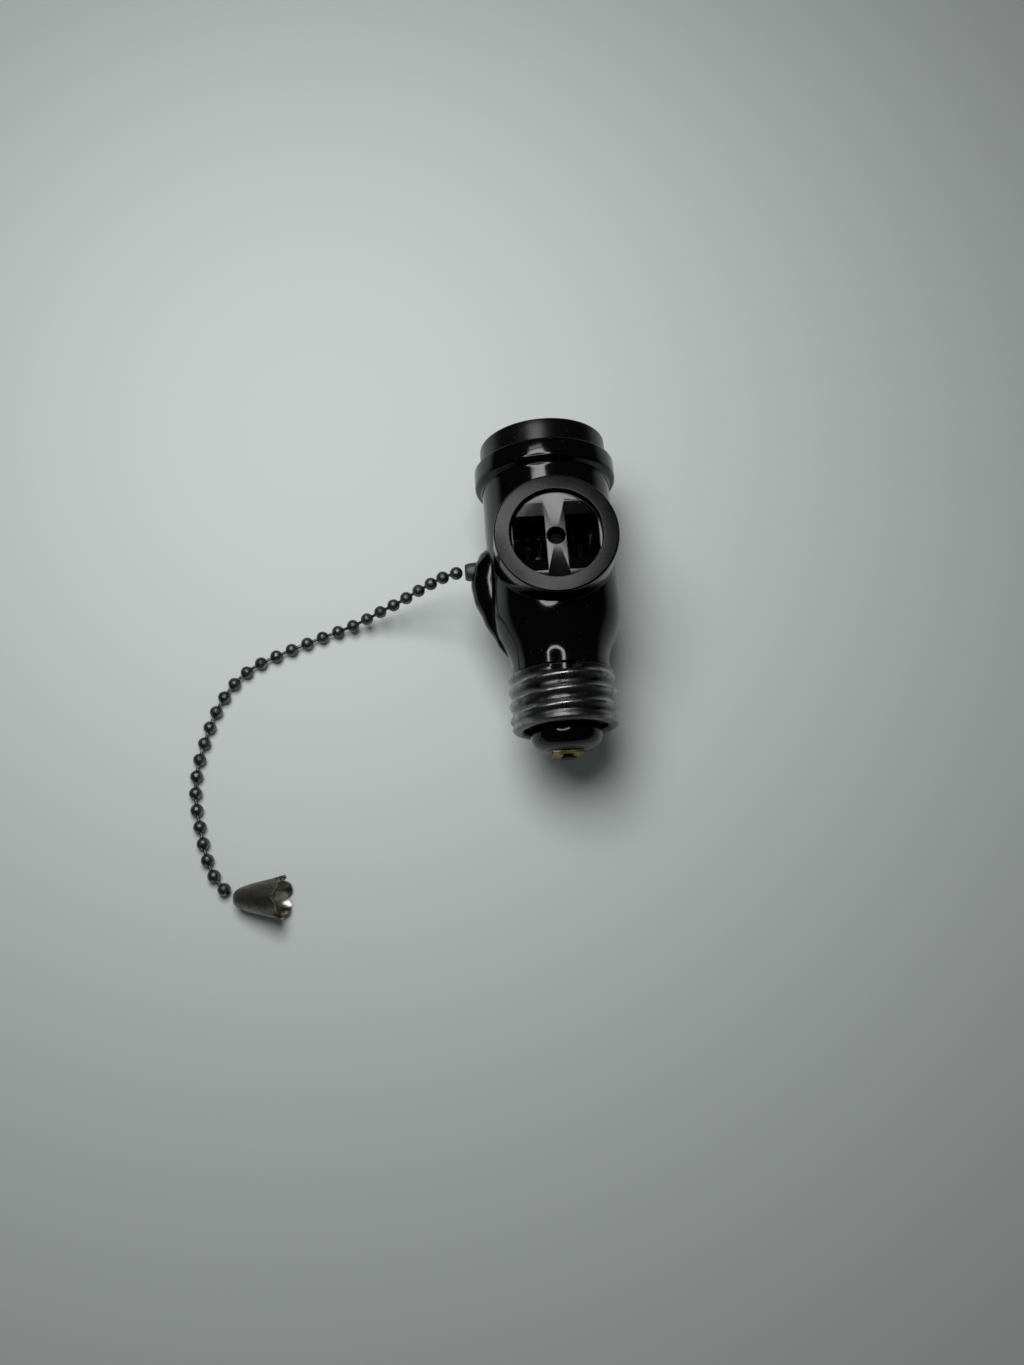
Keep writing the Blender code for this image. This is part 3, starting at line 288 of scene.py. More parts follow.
glossPhenolic = makePhenolic("mouldedPhenolic", 0.10, 0.035, "#040405")
collarPhenolic = makePhenolic("mouldedPhenolicCollar", 0.22, 0.06, "#070708")
ringPhenolic = makePhenolic("groundPhenolicFace", 0.29, 0.08, "#0D0D0E")
shellAluminium = makeRolledAluminium()
contactBrass = makeMetal("rolledBrass", "#5C5230", "#8A7B48", "#A59665", (0.34, 0.5), 0.3, 0.02)
# painted shade: a near-black copy of the brass for the kept brass parts deep inside the wells and body
shadedBrass = makeMetal("brassPaintedShade", "#120E08", "#1E170B", "#2B2212", (0.45, 0.6), 0.3, 0.02)
# painted shade: a near-black copy of the steel for the rivet deep in its well
shadedSteel = makeMetal("steelPaintedShade", "#0C0C0D", "#141415", "#1E1E20", (0.45, 0.6), 0.3, 0.02)
plateSteel = makeMetal("zincPlatedSteel", "#77797A", "#9A9C9E", "#B9BCC0", (0.30, 0.45), 0.3, 0.02)
chainNickel = makeMetal("nickelPlatedSteelChain", "#4C4F4D", "#6C706E", "#858987", (0.36, 0.52), 0.25, 0.03)
bushingNickel = makeMetal("nickelPlatedBushing", "#5B5E5D", "#6E7270", "#808482", (0.5, 0.62), 0.3, 0.02)
bellNickel = makeMetal("nickelPlatedSteelBell", "#75716A", "#85817A", "#918E87", (0.42, 0.5), 0.3, 0.012)
# painted highlight: a brighter copy of the bell's nickel, for the inside of the bell
bellInsideHighlight = makeMetal("nickelPlatedSteelPaintedHighlight", "#8F8C84", "#B9B6AD", "#D6D3CB", (0.16, 0.28), 0.35, 0.02)
fibreBoard = makeFibre()
print("materials made")


# modelling helpers

def arc(centre, radius, start, end, count):
    # points round a centre, from one angle to another in degrees
    angles = [math.radians(start + (end - start) * i / count) for i in range(count + 1)]
    return [(centre[0] + radius * math.cos(a), centre[1] + radius * math.sin(a)) for a in angles]


def smoothLine(points, count):
    # a smooth line through a few given points, each stretch in this many steps
    knots = [Vector(p) for p in points]
    knots = [2 * knots[0] - knots[1]] + knots + [2 * knots[-1] - knots[-2]]
    made = []
    for before, start, end, after in zip(knots, knots[1:], knots[2:], knots[3:]):
        for i in range(count):
            t = i / count
            made.append(0.5 * (
                2 * start + (end - before) * t + (2 * before - 5 * start + 4 * end - after) * t ** 2
                + (3 * start - before - 3 * end + after) * t ** 3
            ))
    made.append(knots[-2])
    return [tuple(p) for p in made]


def turned(name, profile, steps, along="Y", place=None):
    # a profile of (radius, distance) in mm, drawn point by point and spun round the given axis
    origin = Vector(place) if place else Vector((axisX, baseY, axisZ))
    axis = {"X": Vector((-1, 0, 0)), "Y": Vector((0, 1, 0)), "Z": Vector((0, 0, 1))}[along]
    side = Vector((0, 0, 1)) if along == "X" else Vector((1, 0, 0))
    spots = [origin + side * (r * mm) + axis * (d * mm) for r, d in profile]
    clearSelection()
    bpy.ops.mesh.primitive_plane_add(size=mm, location=spots[0])
    piece = bpy.context.object
    piece.name = name
    piece.data.name = name
    bpy.ops.object.transform_apply(location=True, rotation=True, scale=True)
    bpy.ops.object.mode_set(mode="EDIT")
    bpy.ops.mesh.select_mode(type="VERT")
    bpy.ops.mesh.select_all(action="SELECT")
    bpy.ops.mesh.merge(type="CENTER")
    for before, after in zip(spots, spots[1:]):
        bpy.ops.mesh.extrude_vertices_move(TRANSFORM_OT_translate={"value": after - before})
    bpy.ops.mesh.select_all(action="SELECT")
    bpy.ops.mesh.spin(steps=steps, angle=2 * math.pi, center=origin, axis=axis)
    bpy.ops.mesh.select_all(action="SELECT")
    bpy.ops.mesh.remove_doubles(threshold=0.002 * mm)
    bpy.ops.mesh.normals_make_consistent(inside=False)
    bpy.ops.object.mode_set(mode="OBJECT")
    return piece


def plainBore(radius, low, high):
    # the profile of a round hole's cutter between two distances
    return [(0, low), (radius, low), (radius, high), (0, high)]


def block(name, low, high):
    # a block between two corners, in metres
    clearSelection()
    middle = [(a + b) / 2 for a, b in zip(low, high)]
    bpy.ops.mesh.primitive_cube_add(size=1, location=middle)
    piece = bpy.context.object
    piece.name = name
    piece.scale = [b - a for a, b in zip(low, high)]
    bpy.ops.object.transform_apply(location=True, rotation=True, scale=True)
    return piece


def carve(piece, tool, operation="DIFFERENCE"):
    pick(piece)
    step = piece.modifiers.new("carve", "BOOLEAN")
    step.object = tool
    step.operation = operation
    step.solver = "EXACT"
    bpy.ops.object.modifier_apply(modifier=step.name)
    bpy.data.objects.remove(tool)


def smoothShade(piece, angle=32):
    pick(piece)
    bpy.ops.object.shade_smooth_by_angle(angle=math.radians(angle))


def dress(piece, body, slot, material, *nodes):
    # finish, body and the CAD nodes that the piece stands for
    piece.data.materials.clear()
    piece.data.materials.append(material)
    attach(piece, body)
    if nodes:
        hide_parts(*nodes)
    return piece


def rolledSheet(name, rows, steps):
    # a sheet rolled round the adapter's axis: each row is a function of the angle that gives
    # (radius, distance) in mm, angles counted so that a right-hand thread climbs towards the mouth
    clearSelection()
    bpy.ops.mesh.primitive_grid_add(x_subdivisions=steps, y_subdivisions=len(rows) - 1, size=1)
    piece = bpy.context.object
    piece.name = name
    piece.data.name = name
    for point in piece.data.vertices:
        angle = (point.co.x + 0.5) * 2 * math.pi
        radius, distance = rows[round((point.co.y + 0.5) * (len(rows) - 1))](angle)
        point.co = (
            axisX + radius * mm * math.cos(angle),
            baseY + distance * mm,
            axisZ - radius * mm * math.sin(angle),
        )
    pick(piece)
    bpy.ops.object.mode_set(mode="EDIT")
    bpy.ops.mesh.select_all(action="SELECT")
    bpy.ops.mesh.remove_doubles(threshold=0.002 * mm)
    bpy.ops.mesh.normals_make_consistent(inside=False)
    bpy.ops.object.mode_set(mode="OBJECT")
    return piece


def thicken(piece, thickness, offset):
    pick(piece)
    wall = piece.modifiers.new("wall", "SOLIDIFY")
    wall.thickness = thickness * mm
    wall.offset = offset
    wall.use_even_offset = True
    bpy.ops.object.modifier_apply(modifier=wall.name)


# chain, bell and bushing

chain = {
    "beadRadius": 1.66,
    "pitch": 4.45,
    "holeRadius": 0.62,
    "linkRadius": 0.42,
    "firstBead": 1.7,
    "innerFirst": 2.28,
    "beadLip": 1.25,
    "sides": 20,
}
chainRoute = (
    (-0.0240, 0.0083, 0.0217), (-0.0272, 0.0083, 0.0191),
    (-0.0306, 0.0079, 0.0160), (-0.0346, 0.0071, 0.0128), (-0.0388, 0.0060, 0.0098),
    (-0.0432, 0.0050, 0.0072), (-0.0478, 0.0037, 0.0048), (-0.0526, 0.0024, 0.0029),
    (-0.0572, 0.0012, 0.0019), (-0.0615, -0.0001, 0.00168), (-0.0675, -0.0022, 0.00168),
    (-0.0734, -0.0044, 0.00168), (-0.0790, -0.0069, 0.00168), (-0.0836, -0.0104, 0.00168),
    (-0.0873, -0.0151, 0.00168), (-0.0900, -0.0204, 0.00168), (-0.0921, -0.0264, 0.00168),
    (-0.0938, -0.0326, 0.00168), (-0.0945, -0.0390, 0.00168), (-0.0941, -0.0448, 0.00168),
    (-0.0930, -0.0506, 0.00168), (-0.0918, -0.0560, 0.00168), (-0.0901, -0.0609, 0.00168),
    (-0.0876, -0.0647, 0.0018), (-0.0852, -0.0668, 0.0025),
)


def along(points, distance):
    # the point at a distance along a line of points, and the line's direction there
    for start, end in zip(points, points[1:]):
        length = (end - start).length
        if distance <= length:
            return start + (end - start) * (distance / length), (end - start).normalized()
        distance -= length
    return points[-1], (points[-1] - points[-2]).normalized()


def strandOfBeads(name, points, starts):
    # one bead and one wire link are modelled once and copied along the line
    hole = math.degrees(math.asin(chain["holeRadius"] / chain["beadRadius"]))
    side = arc((0, 0), chain["beadRadius"], -90 + hole, 90 - hole, 14)
    lip = chain["holeRadius"] - 0.05
    shell = [(lip, -chain["beadLip"])] + side + [(lip, chain["beadLip"])]
    beadForm = turned("beadForm", shell, chain["sides"], "Z", (0, 0, 0))
    linkLength = chain["pitch"] / 2
    thick = chain["linkRadius"]
    bar = [(0, -linkLength), (thick, -linkLength), (thick, linkLength), (0, linkLength)]
    linkForm = turned("linkForm", bar, 10, "Z", (0, 0, 0))
    copies = []
    for index, distance in enumerate(starts):
        for form, shift in ((beadForm, 0), (linkForm, chain["pitch"] / 2 * mm)):
            if form is linkForm and index == len(starts) - 1:
                continue
            spot, way = along(points, distance + shift)
            copy = form.copy()
            copy.data = form.data.copy()
            bpy.context.scene.collection.objects.link(copy)
            quarter = Matrix.Rotation(math.radians(37 * index), 4, "Z")
            turn = way.to_track_quat("Z", "Y").to_matrix().to_4x4()
            copy.data.transform(Matrix.Translation(spot) @ turn @ quarter)
            copies.append(copy)
    for form in (beadForm, linkForm):
        bpy.data.objects.remove(form)
    clearSelection()
    for copy in copies:
        copy.select_set(True)
    bpy.context.view_layer.objects.active = copies[0]
    bpy.ops.object.join()
    strand = bpy.context.object
    strand.name = name
    strand.data.name = name
    smoothShade(strand, 50)
    return strand


insideHeight = (bushLow.z + bushHigh.z) / 2
chainStart = (bushLow.x - 0.6 * mm, outletY, insideHeight)
routePoints = [Vector(p) for p in smoothLine((chainStart,) + chainRoute, 8)]
routeLength = sum((b - a).length for a, b in zip(routePoints, routePoints[1:]))
beadCount = int((routeLength / mm - chain["firstBead"] + 0.5) / chain["pitch"]) + 1
starts = [(chain["firstBead"] + chain["pitch"] * i) * mm for i in range(beadCount)]
beadChain = strandOfBeads("beadChain", routePoints, starts)
dress(beadChain, "pull", "chain_nickel", chainNickel, "pull_chain")

innerLow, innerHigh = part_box("inner_chain")
innerEnd = Vector((innerHigh.x - chain["beadRadius"] * mm, outletY, insideHeight))
innerPath = [Vector((routePoints[0].x, outletY, insideHeight)), innerEnd]
innerCount = int((innerPath[1] - innerPath[0]).length / mm / chain["pitch"]) + 1
innerStarts = [(chain["pitch"] * i + chain["innerFirst"]) * mm for i in range(innerCount - 1)]
innerChain = strandOfBeads("innerChain", innerPath, innerStarts)
dress(innerChain, "pull", "chain_nickel", chainNickel)

bushing = {"bore": 1.75, "outer": 2.4, "nose": 2.5, "start": 13.9}
bushReach = (axisX - bushLow.x) / mm
bushProfile = [(bushing["bore"], bushing["start"]), (bushing["outer"], bushing["start"])]
for point in arc((0, 0), 1, 0, 90, 12):
    bushProfile.append((
        bushing["bore"] + 0.06 + (bushing["outer"] - bushing["bore"] - 0.06) * point[0],
        bushReach - bushing["nose"] + bushing["nose"] * point[1],
    ))
bushProfile += [(bushing["bore"], bushReach - 0.25), (bushing["bore"], bushing["start"])]
guideBushing = turned("guideBushing", bushProfile, 64, "X", (axisX, outletY, insideHeight))
smoothShade(guideBushing, 40)
dress(guideBushing, "adapter", "chain_nickel", bushingNickel, "chain_guide_bushing")

bell = {
    "length": 12.8,
    "apexRadius": 1.9,
    "mouthRadius": 5.3,
    "swell": 0.62,
    "petals": 6,
    "scallop": 1.9,
    "sheet": 0.45,
    "tilt": 13,
    "heading": -4,
    "apex": (-0.0838, -0.0678),
    "steps": 144,
}


def bellRadius(share):
    return bell["apexRadius"] + (bell["mouthRadius"] - bell["apexRadius"]) * share ** bell["swell"]


def bellLevel(share, angle):
    wave = (1 - abs(math.sin(bell["petals"] / 2 * angle))) ** 1.5
    return share * bell["length"] - bell["scallop"] * wave * max(0, (share - 0.55) / 0.45)


def makeBell():
    shares = [i / 24 for i in range(25)]
    clearSelection()
    bpy.ops.mesh.primitive_grid_add(x_subdivisions=bell["steps"], y_subdivisions=len(shares) + 2, size=1)
    piece = bpy.context.object
    piece.name = "bellPull"
    crown = [(0.9, 0.0), (1.4, 0.0), (1.75, 0.0)]
    for point in piece.data.vertices:
        angle = (point.co.x + 0.5) * 2 * math.pi
        row = round((point.co.y + 0.5) * (len(shares) + 2))
        if row < 3:
            radius, level = crown[row]
        else:
            share = shares[row - 3]
            flare = 1 + 0.05 * max(0, (share - 0.8) / 0.2) * abs(math.sin(bell["petals"] / 2 * angle))
            radius, level = bellRadius(share) * flare, bellLevel(share, angle) + 0.12
        point.co = (radius * mm * math.cos(angle), radius * mm * math.sin(angle), level * mm)
    pick(piece)
    bpy.ops.object.mode_set(mode="EDIT")
    bpy.ops.mesh.select_all(action="SELECT")
    bpy.ops.mesh.remove_doubles(threshold=0.002 * mm)
    bpy.ops.mesh.normals_make_consistent(inside=False)
    bpy.ops.object.mode_set(mode="OBJECT")
    thicken(piece, bell["sheet"], -1)
    tilt = math.radians(bell["tilt"])
    lowest = max(
        bellRadius(i / 40) * math.cos(tilt) - bellLevel(i / 40, 0) * math.sin(tilt)
        for i in range(41)
    )
    turn = Matrix.Rotation(math.radians(bell["heading"]), 4, "Z")
    turn = turn @ Matrix.Rotation(math.pi / 2 - tilt, 4, "Y")
    place = Vector((*bell["apex"], (lowest + 0.08) * mm))
    axisWay = turn @ Vector((0, 0, 1))
    # the inner face of the sheet is painted brighter, a painted highlight for the lit inside of the bell
    outer = []
    for face in piece.data.polygons:
        spot = Vector(face.center)
        outward = Vector((spot.x, spot.y, 0)).normalized()
        outer.append(face.normal.dot(outward) > -0.2)
    piece.data.transform(Matrix.Translation(place) @ turn)
    smoothShade(piece, 40)
    dress(piece, "pull", "chain_nickel", bellNickel, "bell_pull")
    # the inner faces take the painted-highlight copy of the nickel
    piece.data.materials.append(bellInsideHighlight)
    for face, isOuter in zip(piece.data.polygons, outer):
        face.material_index = 0 if isOuter else 1
    return piece


bellPull = makeBell()
print("chain of", beadCount, "beads,", round(routeLength / mm, 1), "mm")


# moulded body

body = {
    "radius": 16.45,
    "neckRadius": 12.25,
    "neckInside": 11.4,
    "neckFoot": 1.5,
    "shoulderSeat": 14.2,
    "straightFrom": 35.0,
    "straightStep": 4.0,
    "flangeRadius": 18.25,
    "flangeLow": 63.7,
    "flangeTop": 70.0,
    "ledge": 50.2,
    "socketBore": 14.15,
    "skirtBore": 15.35,
    "skirtDepth": 3.4,
    "slotHalf": 4.5,
    "slotLow": 31.0,
    "slotTop": 50.5,
    "chamber": 13.4,
    "chamberTop": 35.5,
    "bushingBore": 2.7,
    "screwHole": 1.1,
    "screwOut": 9.6,
    "neckBore": 8.6,
    "steps": 180,
}
outlet = {
    "reach": 22.4,
    "bossRadius": 14.9,
    "recessRadius": 11.2,
    "recessDepth": 2.0,
    "crown": 0.18,
    "wellHalf": 3.85,
    "wellCentre": 6.35,
    "wellHeight": 11.0,
    "funnel": 3.2,
    "funnelDepth": 0.9,
    "wellFloor": 5.9,
    "rivetWell": 2.2,
    "rivetWellDepth": 3.4,
    "rivetHole": 1.7,
    "slitHalf": 0.8,
    "slitFrom": 3.5,
    "slitTo": 7.0,
    "slitHeight": 6.1,
}
pad = {
    "top": 48.9,
    "tail": 18.5,
    "half": 5.8,
    "inside": 11.0,
    "round": 0.8,
    "line": (
        (18.5, 12.4), (23.4, 15.4), (29.0, 18.2), (35.0, 20.4),
        (39.0, 20.95), (43.0, 20.3), (46.5, 18.6), (48.9, 16.6),
    ),
}
outletS = (outletY - baseY) / mm


def bodyProfile():
    wall = [(0, body["neckFoot"]), (body["neckInside"], body["neckFoot"])]
    wall += [(body["neckInside"], body["shoulderSeat"]), (body["neckRadius"] - 0.2, body["shoulderSeat"])]
    wall += [(body["neckRadius"], body["shoulderSeat"] + 0.2)]
    wall += smoothLine([
        (12.25, 15.4), (12.29, 17.2), (12.65, 19.1), (13.35, 20.8), (14.2, 22.5), (15.05, 24.4),
        (15.75, 26.6), (16.2, 29.0), (16.4, 31.8), (body["radius"], body["straightFrom"]),
    ], 4)
    wall += [(body["radius"], body["straightFrom"] + body["straightStep"] * i) for i in range(1, 8)]
    low = body["flangeLow"]
    wall += arc((body["radius"] + 1.0, low), 1.0, 180, 100, 8)
    wall += arc((body["radius"] + 0.64, low + 2.1), 1.16, -80, 0, 8)
    wall += arc((body["flangeRadius"] - 0.4, body["flangeTop"] - 0.4), 0.4, 0, 90, 4)
    wall += [(0, body["flangeTop"])]
    return wall


def makeBody():
    piece = turned("mouldedBody", bodyProfile(), body["steps"])
    reach, edge = outlet["reach"], 0.5
    crown = outlet["crown"]
    boss = [(0, -reach), (outlet["recessRadius"] + 0.2, -reach)]
    boss += arc((outlet["bossRadius"] - edge, -reach + edge + crown), edge, -90, 0, 5)
    boss += [(outlet["bossRadius"], -reach + 8.0 * i) for i in range(1, 5)]
    boss += arc((outlet["bossRadius"] - edge, reach - edge - crown), edge, 0, 90, 5)
    boss += [(outlet["recessRadius"] + 0.2, reach), (0, reach)]
    carve(piece, turned("bossForm", boss, 144, "Z", (axisX, outletY, axisZ)), "UNION")
    carve(piece, makeChainPad(), "UNION")

    past = body["flangeTop"] + 1
    carve(piece, turned("socketBoreTool", plainBore(body["socketBore"], body["ledge"], past), 144))
    skirtLow = body["flangeTop"] - body["skirtDepth"]
    carve(piece, turned("skirtTool", plainBore(body["skirtBore"], skirtLow, past), 144))
    slot, wide = body["slotHalf"] * mm, body["chamber"] * mm
    carve(piece, block(
        "slotTool", (axisX - wide, baseY + body["slotLow"] * mm, axisZ - slot),
        (axisX + wide, baseY + body["slotTop"] * mm, axisZ + slot),
    ))
    carve(piece, turned("chamberTool", [
        (0, 17), (body["neckBore"], 17), (body["chamber"], 29),
        (body["chamber"], body["chamberTop"]), (0, body["chamberTop"]),
    ], 96))
    carve(piece, turned("neckBoreTool", plainBore(body["neckBore"], 0, 18), 96))
    carve(piece, block(
        "neutralTool", (axisX - 12.5 * mm, baseY + 8.1 * mm, axisZ + 1.2 * mm),
        (axisX - 6.6 * mm, baseY + 9.5 * mm, axisZ + 4.6 * mm),
    ))
    carve(piece, turned(
        "bushingTool", plainBore(body["bushingBore"], 11, 24), 64, "X", (axisX, outletY, insideHeight)
    ))
    carve(piece, turned(
        "rivetTool", plainBore(outlet["rivetHole"], -30, 30), 48, "Z", (axisX, outletY, axisZ)
    ))
    for face in (-1, 1):
        carveOutlet(piece, face)
        carve(piece, turned(
            "screwTool", plainBore(body["screwHole"], -5, 1), 24, "Y",
            (axisX, baseY + body["ledge"] * mm, axisZ + face * body["screwOut"] * mm),
        ))
    smoothShade(piece, 34)
    dress(piece, "adapter", "phenolic", glossPhenolic, "body_housing")
    piece.data.materials.append(ringPhenolic)
    for surface in piece.data.polygons:
        level = abs(surface.center.z - axisZ) / mm
        if abs(surface.normal.z) > 0.97 and level > outlet["reach"] - 0.3:
            surface.material_index = 1
    return piece


def padSection(level):
    # half the pad's width and its reach from the axis, at a height
    centre = pad["top"] - pad["half"]
    if level > centre:
        width = pad["half"] * math.sqrt(max(0, 1 - ((level - centre) / pad["half"]) ** 2))
    else:
        share = (centre - level) / (centre - pad["tail"])
        width = pad["half"] * max(0, 1 - share ** 1.5) ** 0.72
    line = pad["line"]
    for (lower, low), (upper, high) in zip(line, line[1:]):
        if level <= upper:
            share = (level - lower) / (upper - lower)
            eased = (3 * share ** 2 - 2 * share ** 3) * 0.5
            return width, low + (high - low) * eased + (high - low) * share * 0.5
    return width, line[-1][1]


def makeChainPad():
    # a smooth pad that rises from the body towards the chain and tapers back to the neck
    rows, columns = 64, 40
    clearSelection()
    bpy.ops.mesh.primitive_grid_add(x_subdivisions=columns, y_subdivisions=rows, size=1)
    form = bpy.context.object
    form.name = "chainPad"
    for point in form.data.vertices:
        share = 0.5 - 0.5 * math.cos((point.co.y + 0.5) * math.pi)
        level = pad["tail"] + (pad["top"] - pad["tail"]) * share
        width, reach = padSection(level)
        turn = point.co.x * math.pi
        out = max(0, math.cos(turn)) ** pad["round"]
        across = math.copysign(abs(math.sin(turn)) ** pad["round"], turn)
        point.co = (
            axisX - (pad["inside"] + (reach - pad["inside"]) * out) * mm,
            baseY + level * mm,
            axisZ + width * across * mm,
        )
    pick(form)
    bpy.ops.object.mode_set(mode="EDIT")
    bpy.ops.mesh.select_all(action="SELECT")
    bpy.ops.mesh.remove_doubles(threshold=0.004 * mm)
    bpy.ops.mesh.select_all(action="DESELECT")
    bpy.ops.mesh.select_mode(type="EDGE")
    bpy.ops.mesh.select_non_manifold(
        extend=False, use_wire=False, use_boundary=True, use_multi_face=False,
        use_non_contiguous=False, use_verts=False,
    )
    bpy.ops.mesh.edge_face_add()
    bpy.ops.mesh.select_all(action="SELECT")
    bpy.ops.mesh.normals_make_consistent(inside=False)
    bpy.ops.object.mode_set(mode="OBJECT")
    return form


def carveOutlet(piece, face):
    # face is 1 for the front outlet and -1 for the back one
    centre = (axisX, outletY, axisZ)
    floor = outlet["reach"] - outlet["recessDepth"]
    corner = 0.25
    recess = [(0, face * floor)]
    recess += [
        (r, face * d) for r, d in arc((outlet["recessRadius"] - corner, floor + corner), corner, -90, 0, 3)
    ]
    recess += [(outlet["recessRadius"], face * 24), (0, face * 24)]
    carve(piece, turned("recessTool", recess, 120, "Z", centre))
    depth = floor - outlet["rivetWellDepth"]
    carve(piece, turned(
        "rivetWellTool", plainBore(outlet["rivetWell"], face * depth, face * 23), 64, "Z", centre
    ))
    for side in (-1, 1):
        carve(piece, makeWellTool(face, side))
        x = axisX + side * outlet["wellCentre"] * mm
        low, high = sorted(axisZ + face * outlet[end] * mm for end in ("slitFrom", "slitTo"))
        carve(piece, block(
            "slitTool", (x - outlet["slitHalf"] * mm, outletY - outlet["slitHeight"] / 2 * mm, low),
            (x + outlet["slitHalf"] * mm, outletY + outlet["slitHeight"] / 2 * mm, high),
        ))


def makeWellTool(face, side):
    # a straight well with a sloped mouth at its two ends, kept inside the recess's wall
    x = axisX + side * outlet["wellCentre"] * mm
    half, tall = outlet["wellHalf"] * mm, outlet["wellHeight"] / 2 * mm
    floor = outlet["reach"] - outlet["recessDepth"]
    neck = floor - outlet["funnelDepth"]
    low, high = sorted((axisZ + face * outlet["wellFloor"] * mm, axisZ + face * neck * mm))
    tool = block("wellTool", (x - half, outletY - tall, low), (x + half, outletY + tall, high))
    pick(tool)
    bpy.ops.object.mode_set(mode="EDIT")
    bpy.ops.mesh.select_mode(type="FACE")
    bpy.ops.mesh.select_all(action="DESELECT")
    bpy.ops.object.mode_set(mode="OBJECT")
    for surface in tool.data.polygons:
        surface.select = surface.normal.z * face > 0.9
    bpy.ops.object.mode_set(mode="EDIT")
    rise = face * outlet["funnelDepth"] * mm
    bpy.ops.mesh.extrude_region_move(TRANSFORM_OT_translate={"value": (0, 0, rise)})
    spread = (tall + outlet["funnel"] * mm) / tall
    bpy.ops.transform.resize(value=(1, spread, 1), center_override=(x, outletY, axisZ))
    bpy.ops.mesh.extrude_region_move(TRANSFORM_OT_translate={"value": (0, 0, face * 0.6 * mm)})
    bpy.ops.object.mode_set(mode="OBJECT")
    limit = outlet["recessRadius"] - 0.3
    rim = turned("wellLimit", plainBore(limit, face * 2, face * 24), 96, "Z", (axisX, outletY, axisZ))
    carve(tool, rim, "INTERSECT")
    return tool


mouldedBody = makeBody()
print("body moulded,", len(mouldedBody.data.polygons), "faces")


# collar, dome and the sheet-metal shells

collar = {"inner": 14.25, "skirt": 15.05, "outer": 16.35, "seat": 70.3, "top": 76.4, "skirtLow": 66.9}


def makeCollar():
    edge = 0.5
    profile = [(collar["inner"], collar["skirtLow"]), (collar["skirt"], collar["skirtLow"])]
    profile += [(collar["skirt"], collar["seat"]), (collar["outer"] - 0.25, collar["seat"])]
    profile += [(collar["outer"], collar["seat"] + 0.25)]
    profile += [(collar["outer"], collar["seat"] + 2.2), (collar["outer"], collar["seat"] + 4.2)]
    profile += arc((collar["outer"] - edge, collar["top"] - edge), edge, 0, 90, 6)
    profile += arc((collar["inner"] + edge, collar["top"] - edge), edge, 90, 180, 6)
    profile += [(collar["inner"], collar["skirtLow"])]
    piece = turned("mouthCollar", profile, 180)
    smoothShade(piece, 34)
    return dress(piece, "adapter", "phenolic", collarPhenolic, "mouth_collar")


dome = {"plug": 8.3, "plugTop": 4.5, "bore": 1.5, "length": 5.4}


def makeDome():
    profile = [(dome["bore"], dome["plugTop"]), (dome["plug"], dome["plugTop"]), (dome["plug"], 0.9)]
    profile += smoothLine([
        (8.4, 0.6), (8.68, -0.6), (8.78, -1.6), (8.5, -2.8), (7.75, -3.9), (6.6, -4.7), (5.4, -5.15),
    ], 4)
    profile += arc((4.9, -4.9), 0.5, -40, -90, 4)
    profile += [(dome["bore"], -dome["length"]), (dome["bore"], dome["plugTop"])]
    piece = turned("baseDome", profile, 144)
    smoothShade(piece, 34)
    return dress(piece, "adapter", "phenolic", glossPhenolic, "base_insulator")


thread = {"pitch": 3.629, "depth": 0.8, "perPitch": 16, "steps": 160, "sheet": 0.4}


def threadRadius(root, height, low, high, phase, angle):
    ease = min(1, max(0, (height - low) / 1.3), max(0, (high - height) / 0.9))
    turn = 2 * math.pi * (height - phase) / thread["pitch"] - angle
    return root + thread["depth"] * (0.5 + (0.5 * math.cos(turn) + 0.06 * math.cos(2 * turn)) * ease)


baseShell = {"root": 12.55, "top": 13.9, "phase": 1.2, "notchX": -0.5, "notchWidth": 7.4, "notchDepth": 1.7}


def makeBaseShell():
    rim = [(10.3, 0.75), (10.34, 0.4), (10.6, 0.12), (11.2, 0.0), (12.0, 0.05), (12.7, 0.3), (13.1, 0.75)]
    rows = [lambda angle, spot=spot: spot for spot in rim]
    count = round((baseShell["top"] - 1.25) / thread["pitch"] * thread["perPitch"])
    for i in range(count + 1):
        height = 1.25 + (baseShell["top"] - 1.25) * i / count
        rows.append(lambda angle, height=height: (
            threadRadius(baseShell["root"], height, 1.2, baseShell["top"] + 0.3, baseShell["phase"], angle),
            height,
        ))
    piece = rolledSheet("baseScrewShell", rows, thread["steps"])
    thicken(piece, thread["sheet"], -1)
    half = baseShell["notchWidth"] / 2 * mm
    x, floor = axisX + baseShell["notchX"] * mm, baseY + (baseShell["top"] - baseShell["notchDepth"]) * mm
    tool = block("notchTool", (x - half, floor, axisZ + 9 * mm), (x + half, floor + 3 * mm, axisZ + 15 * mm))
    for point in tool.data.vertices:
        if point.co.y < floor + 0.001 * mm:
            point.co.x = x + (point.co.x - x) * 0.7
    pick(tool)
    soften = tool.modifiers.new("soften", "BEVEL")
    soften.width = 0.5 * mm
    soften.segments = 4
    bpy.ops.object.modifier_apply(modifier=soften.name)
    carve(piece, tool)
    smoothShade(piece, 50)
    return dress(piece, "adapter", "shell_aluminium", shellAluminium, "base_screw_shell")


lampShell = {"root": 12.6, "bottom": 51.6, "top": 74.8, "hole": 6.5, "screwHole": 1.3}


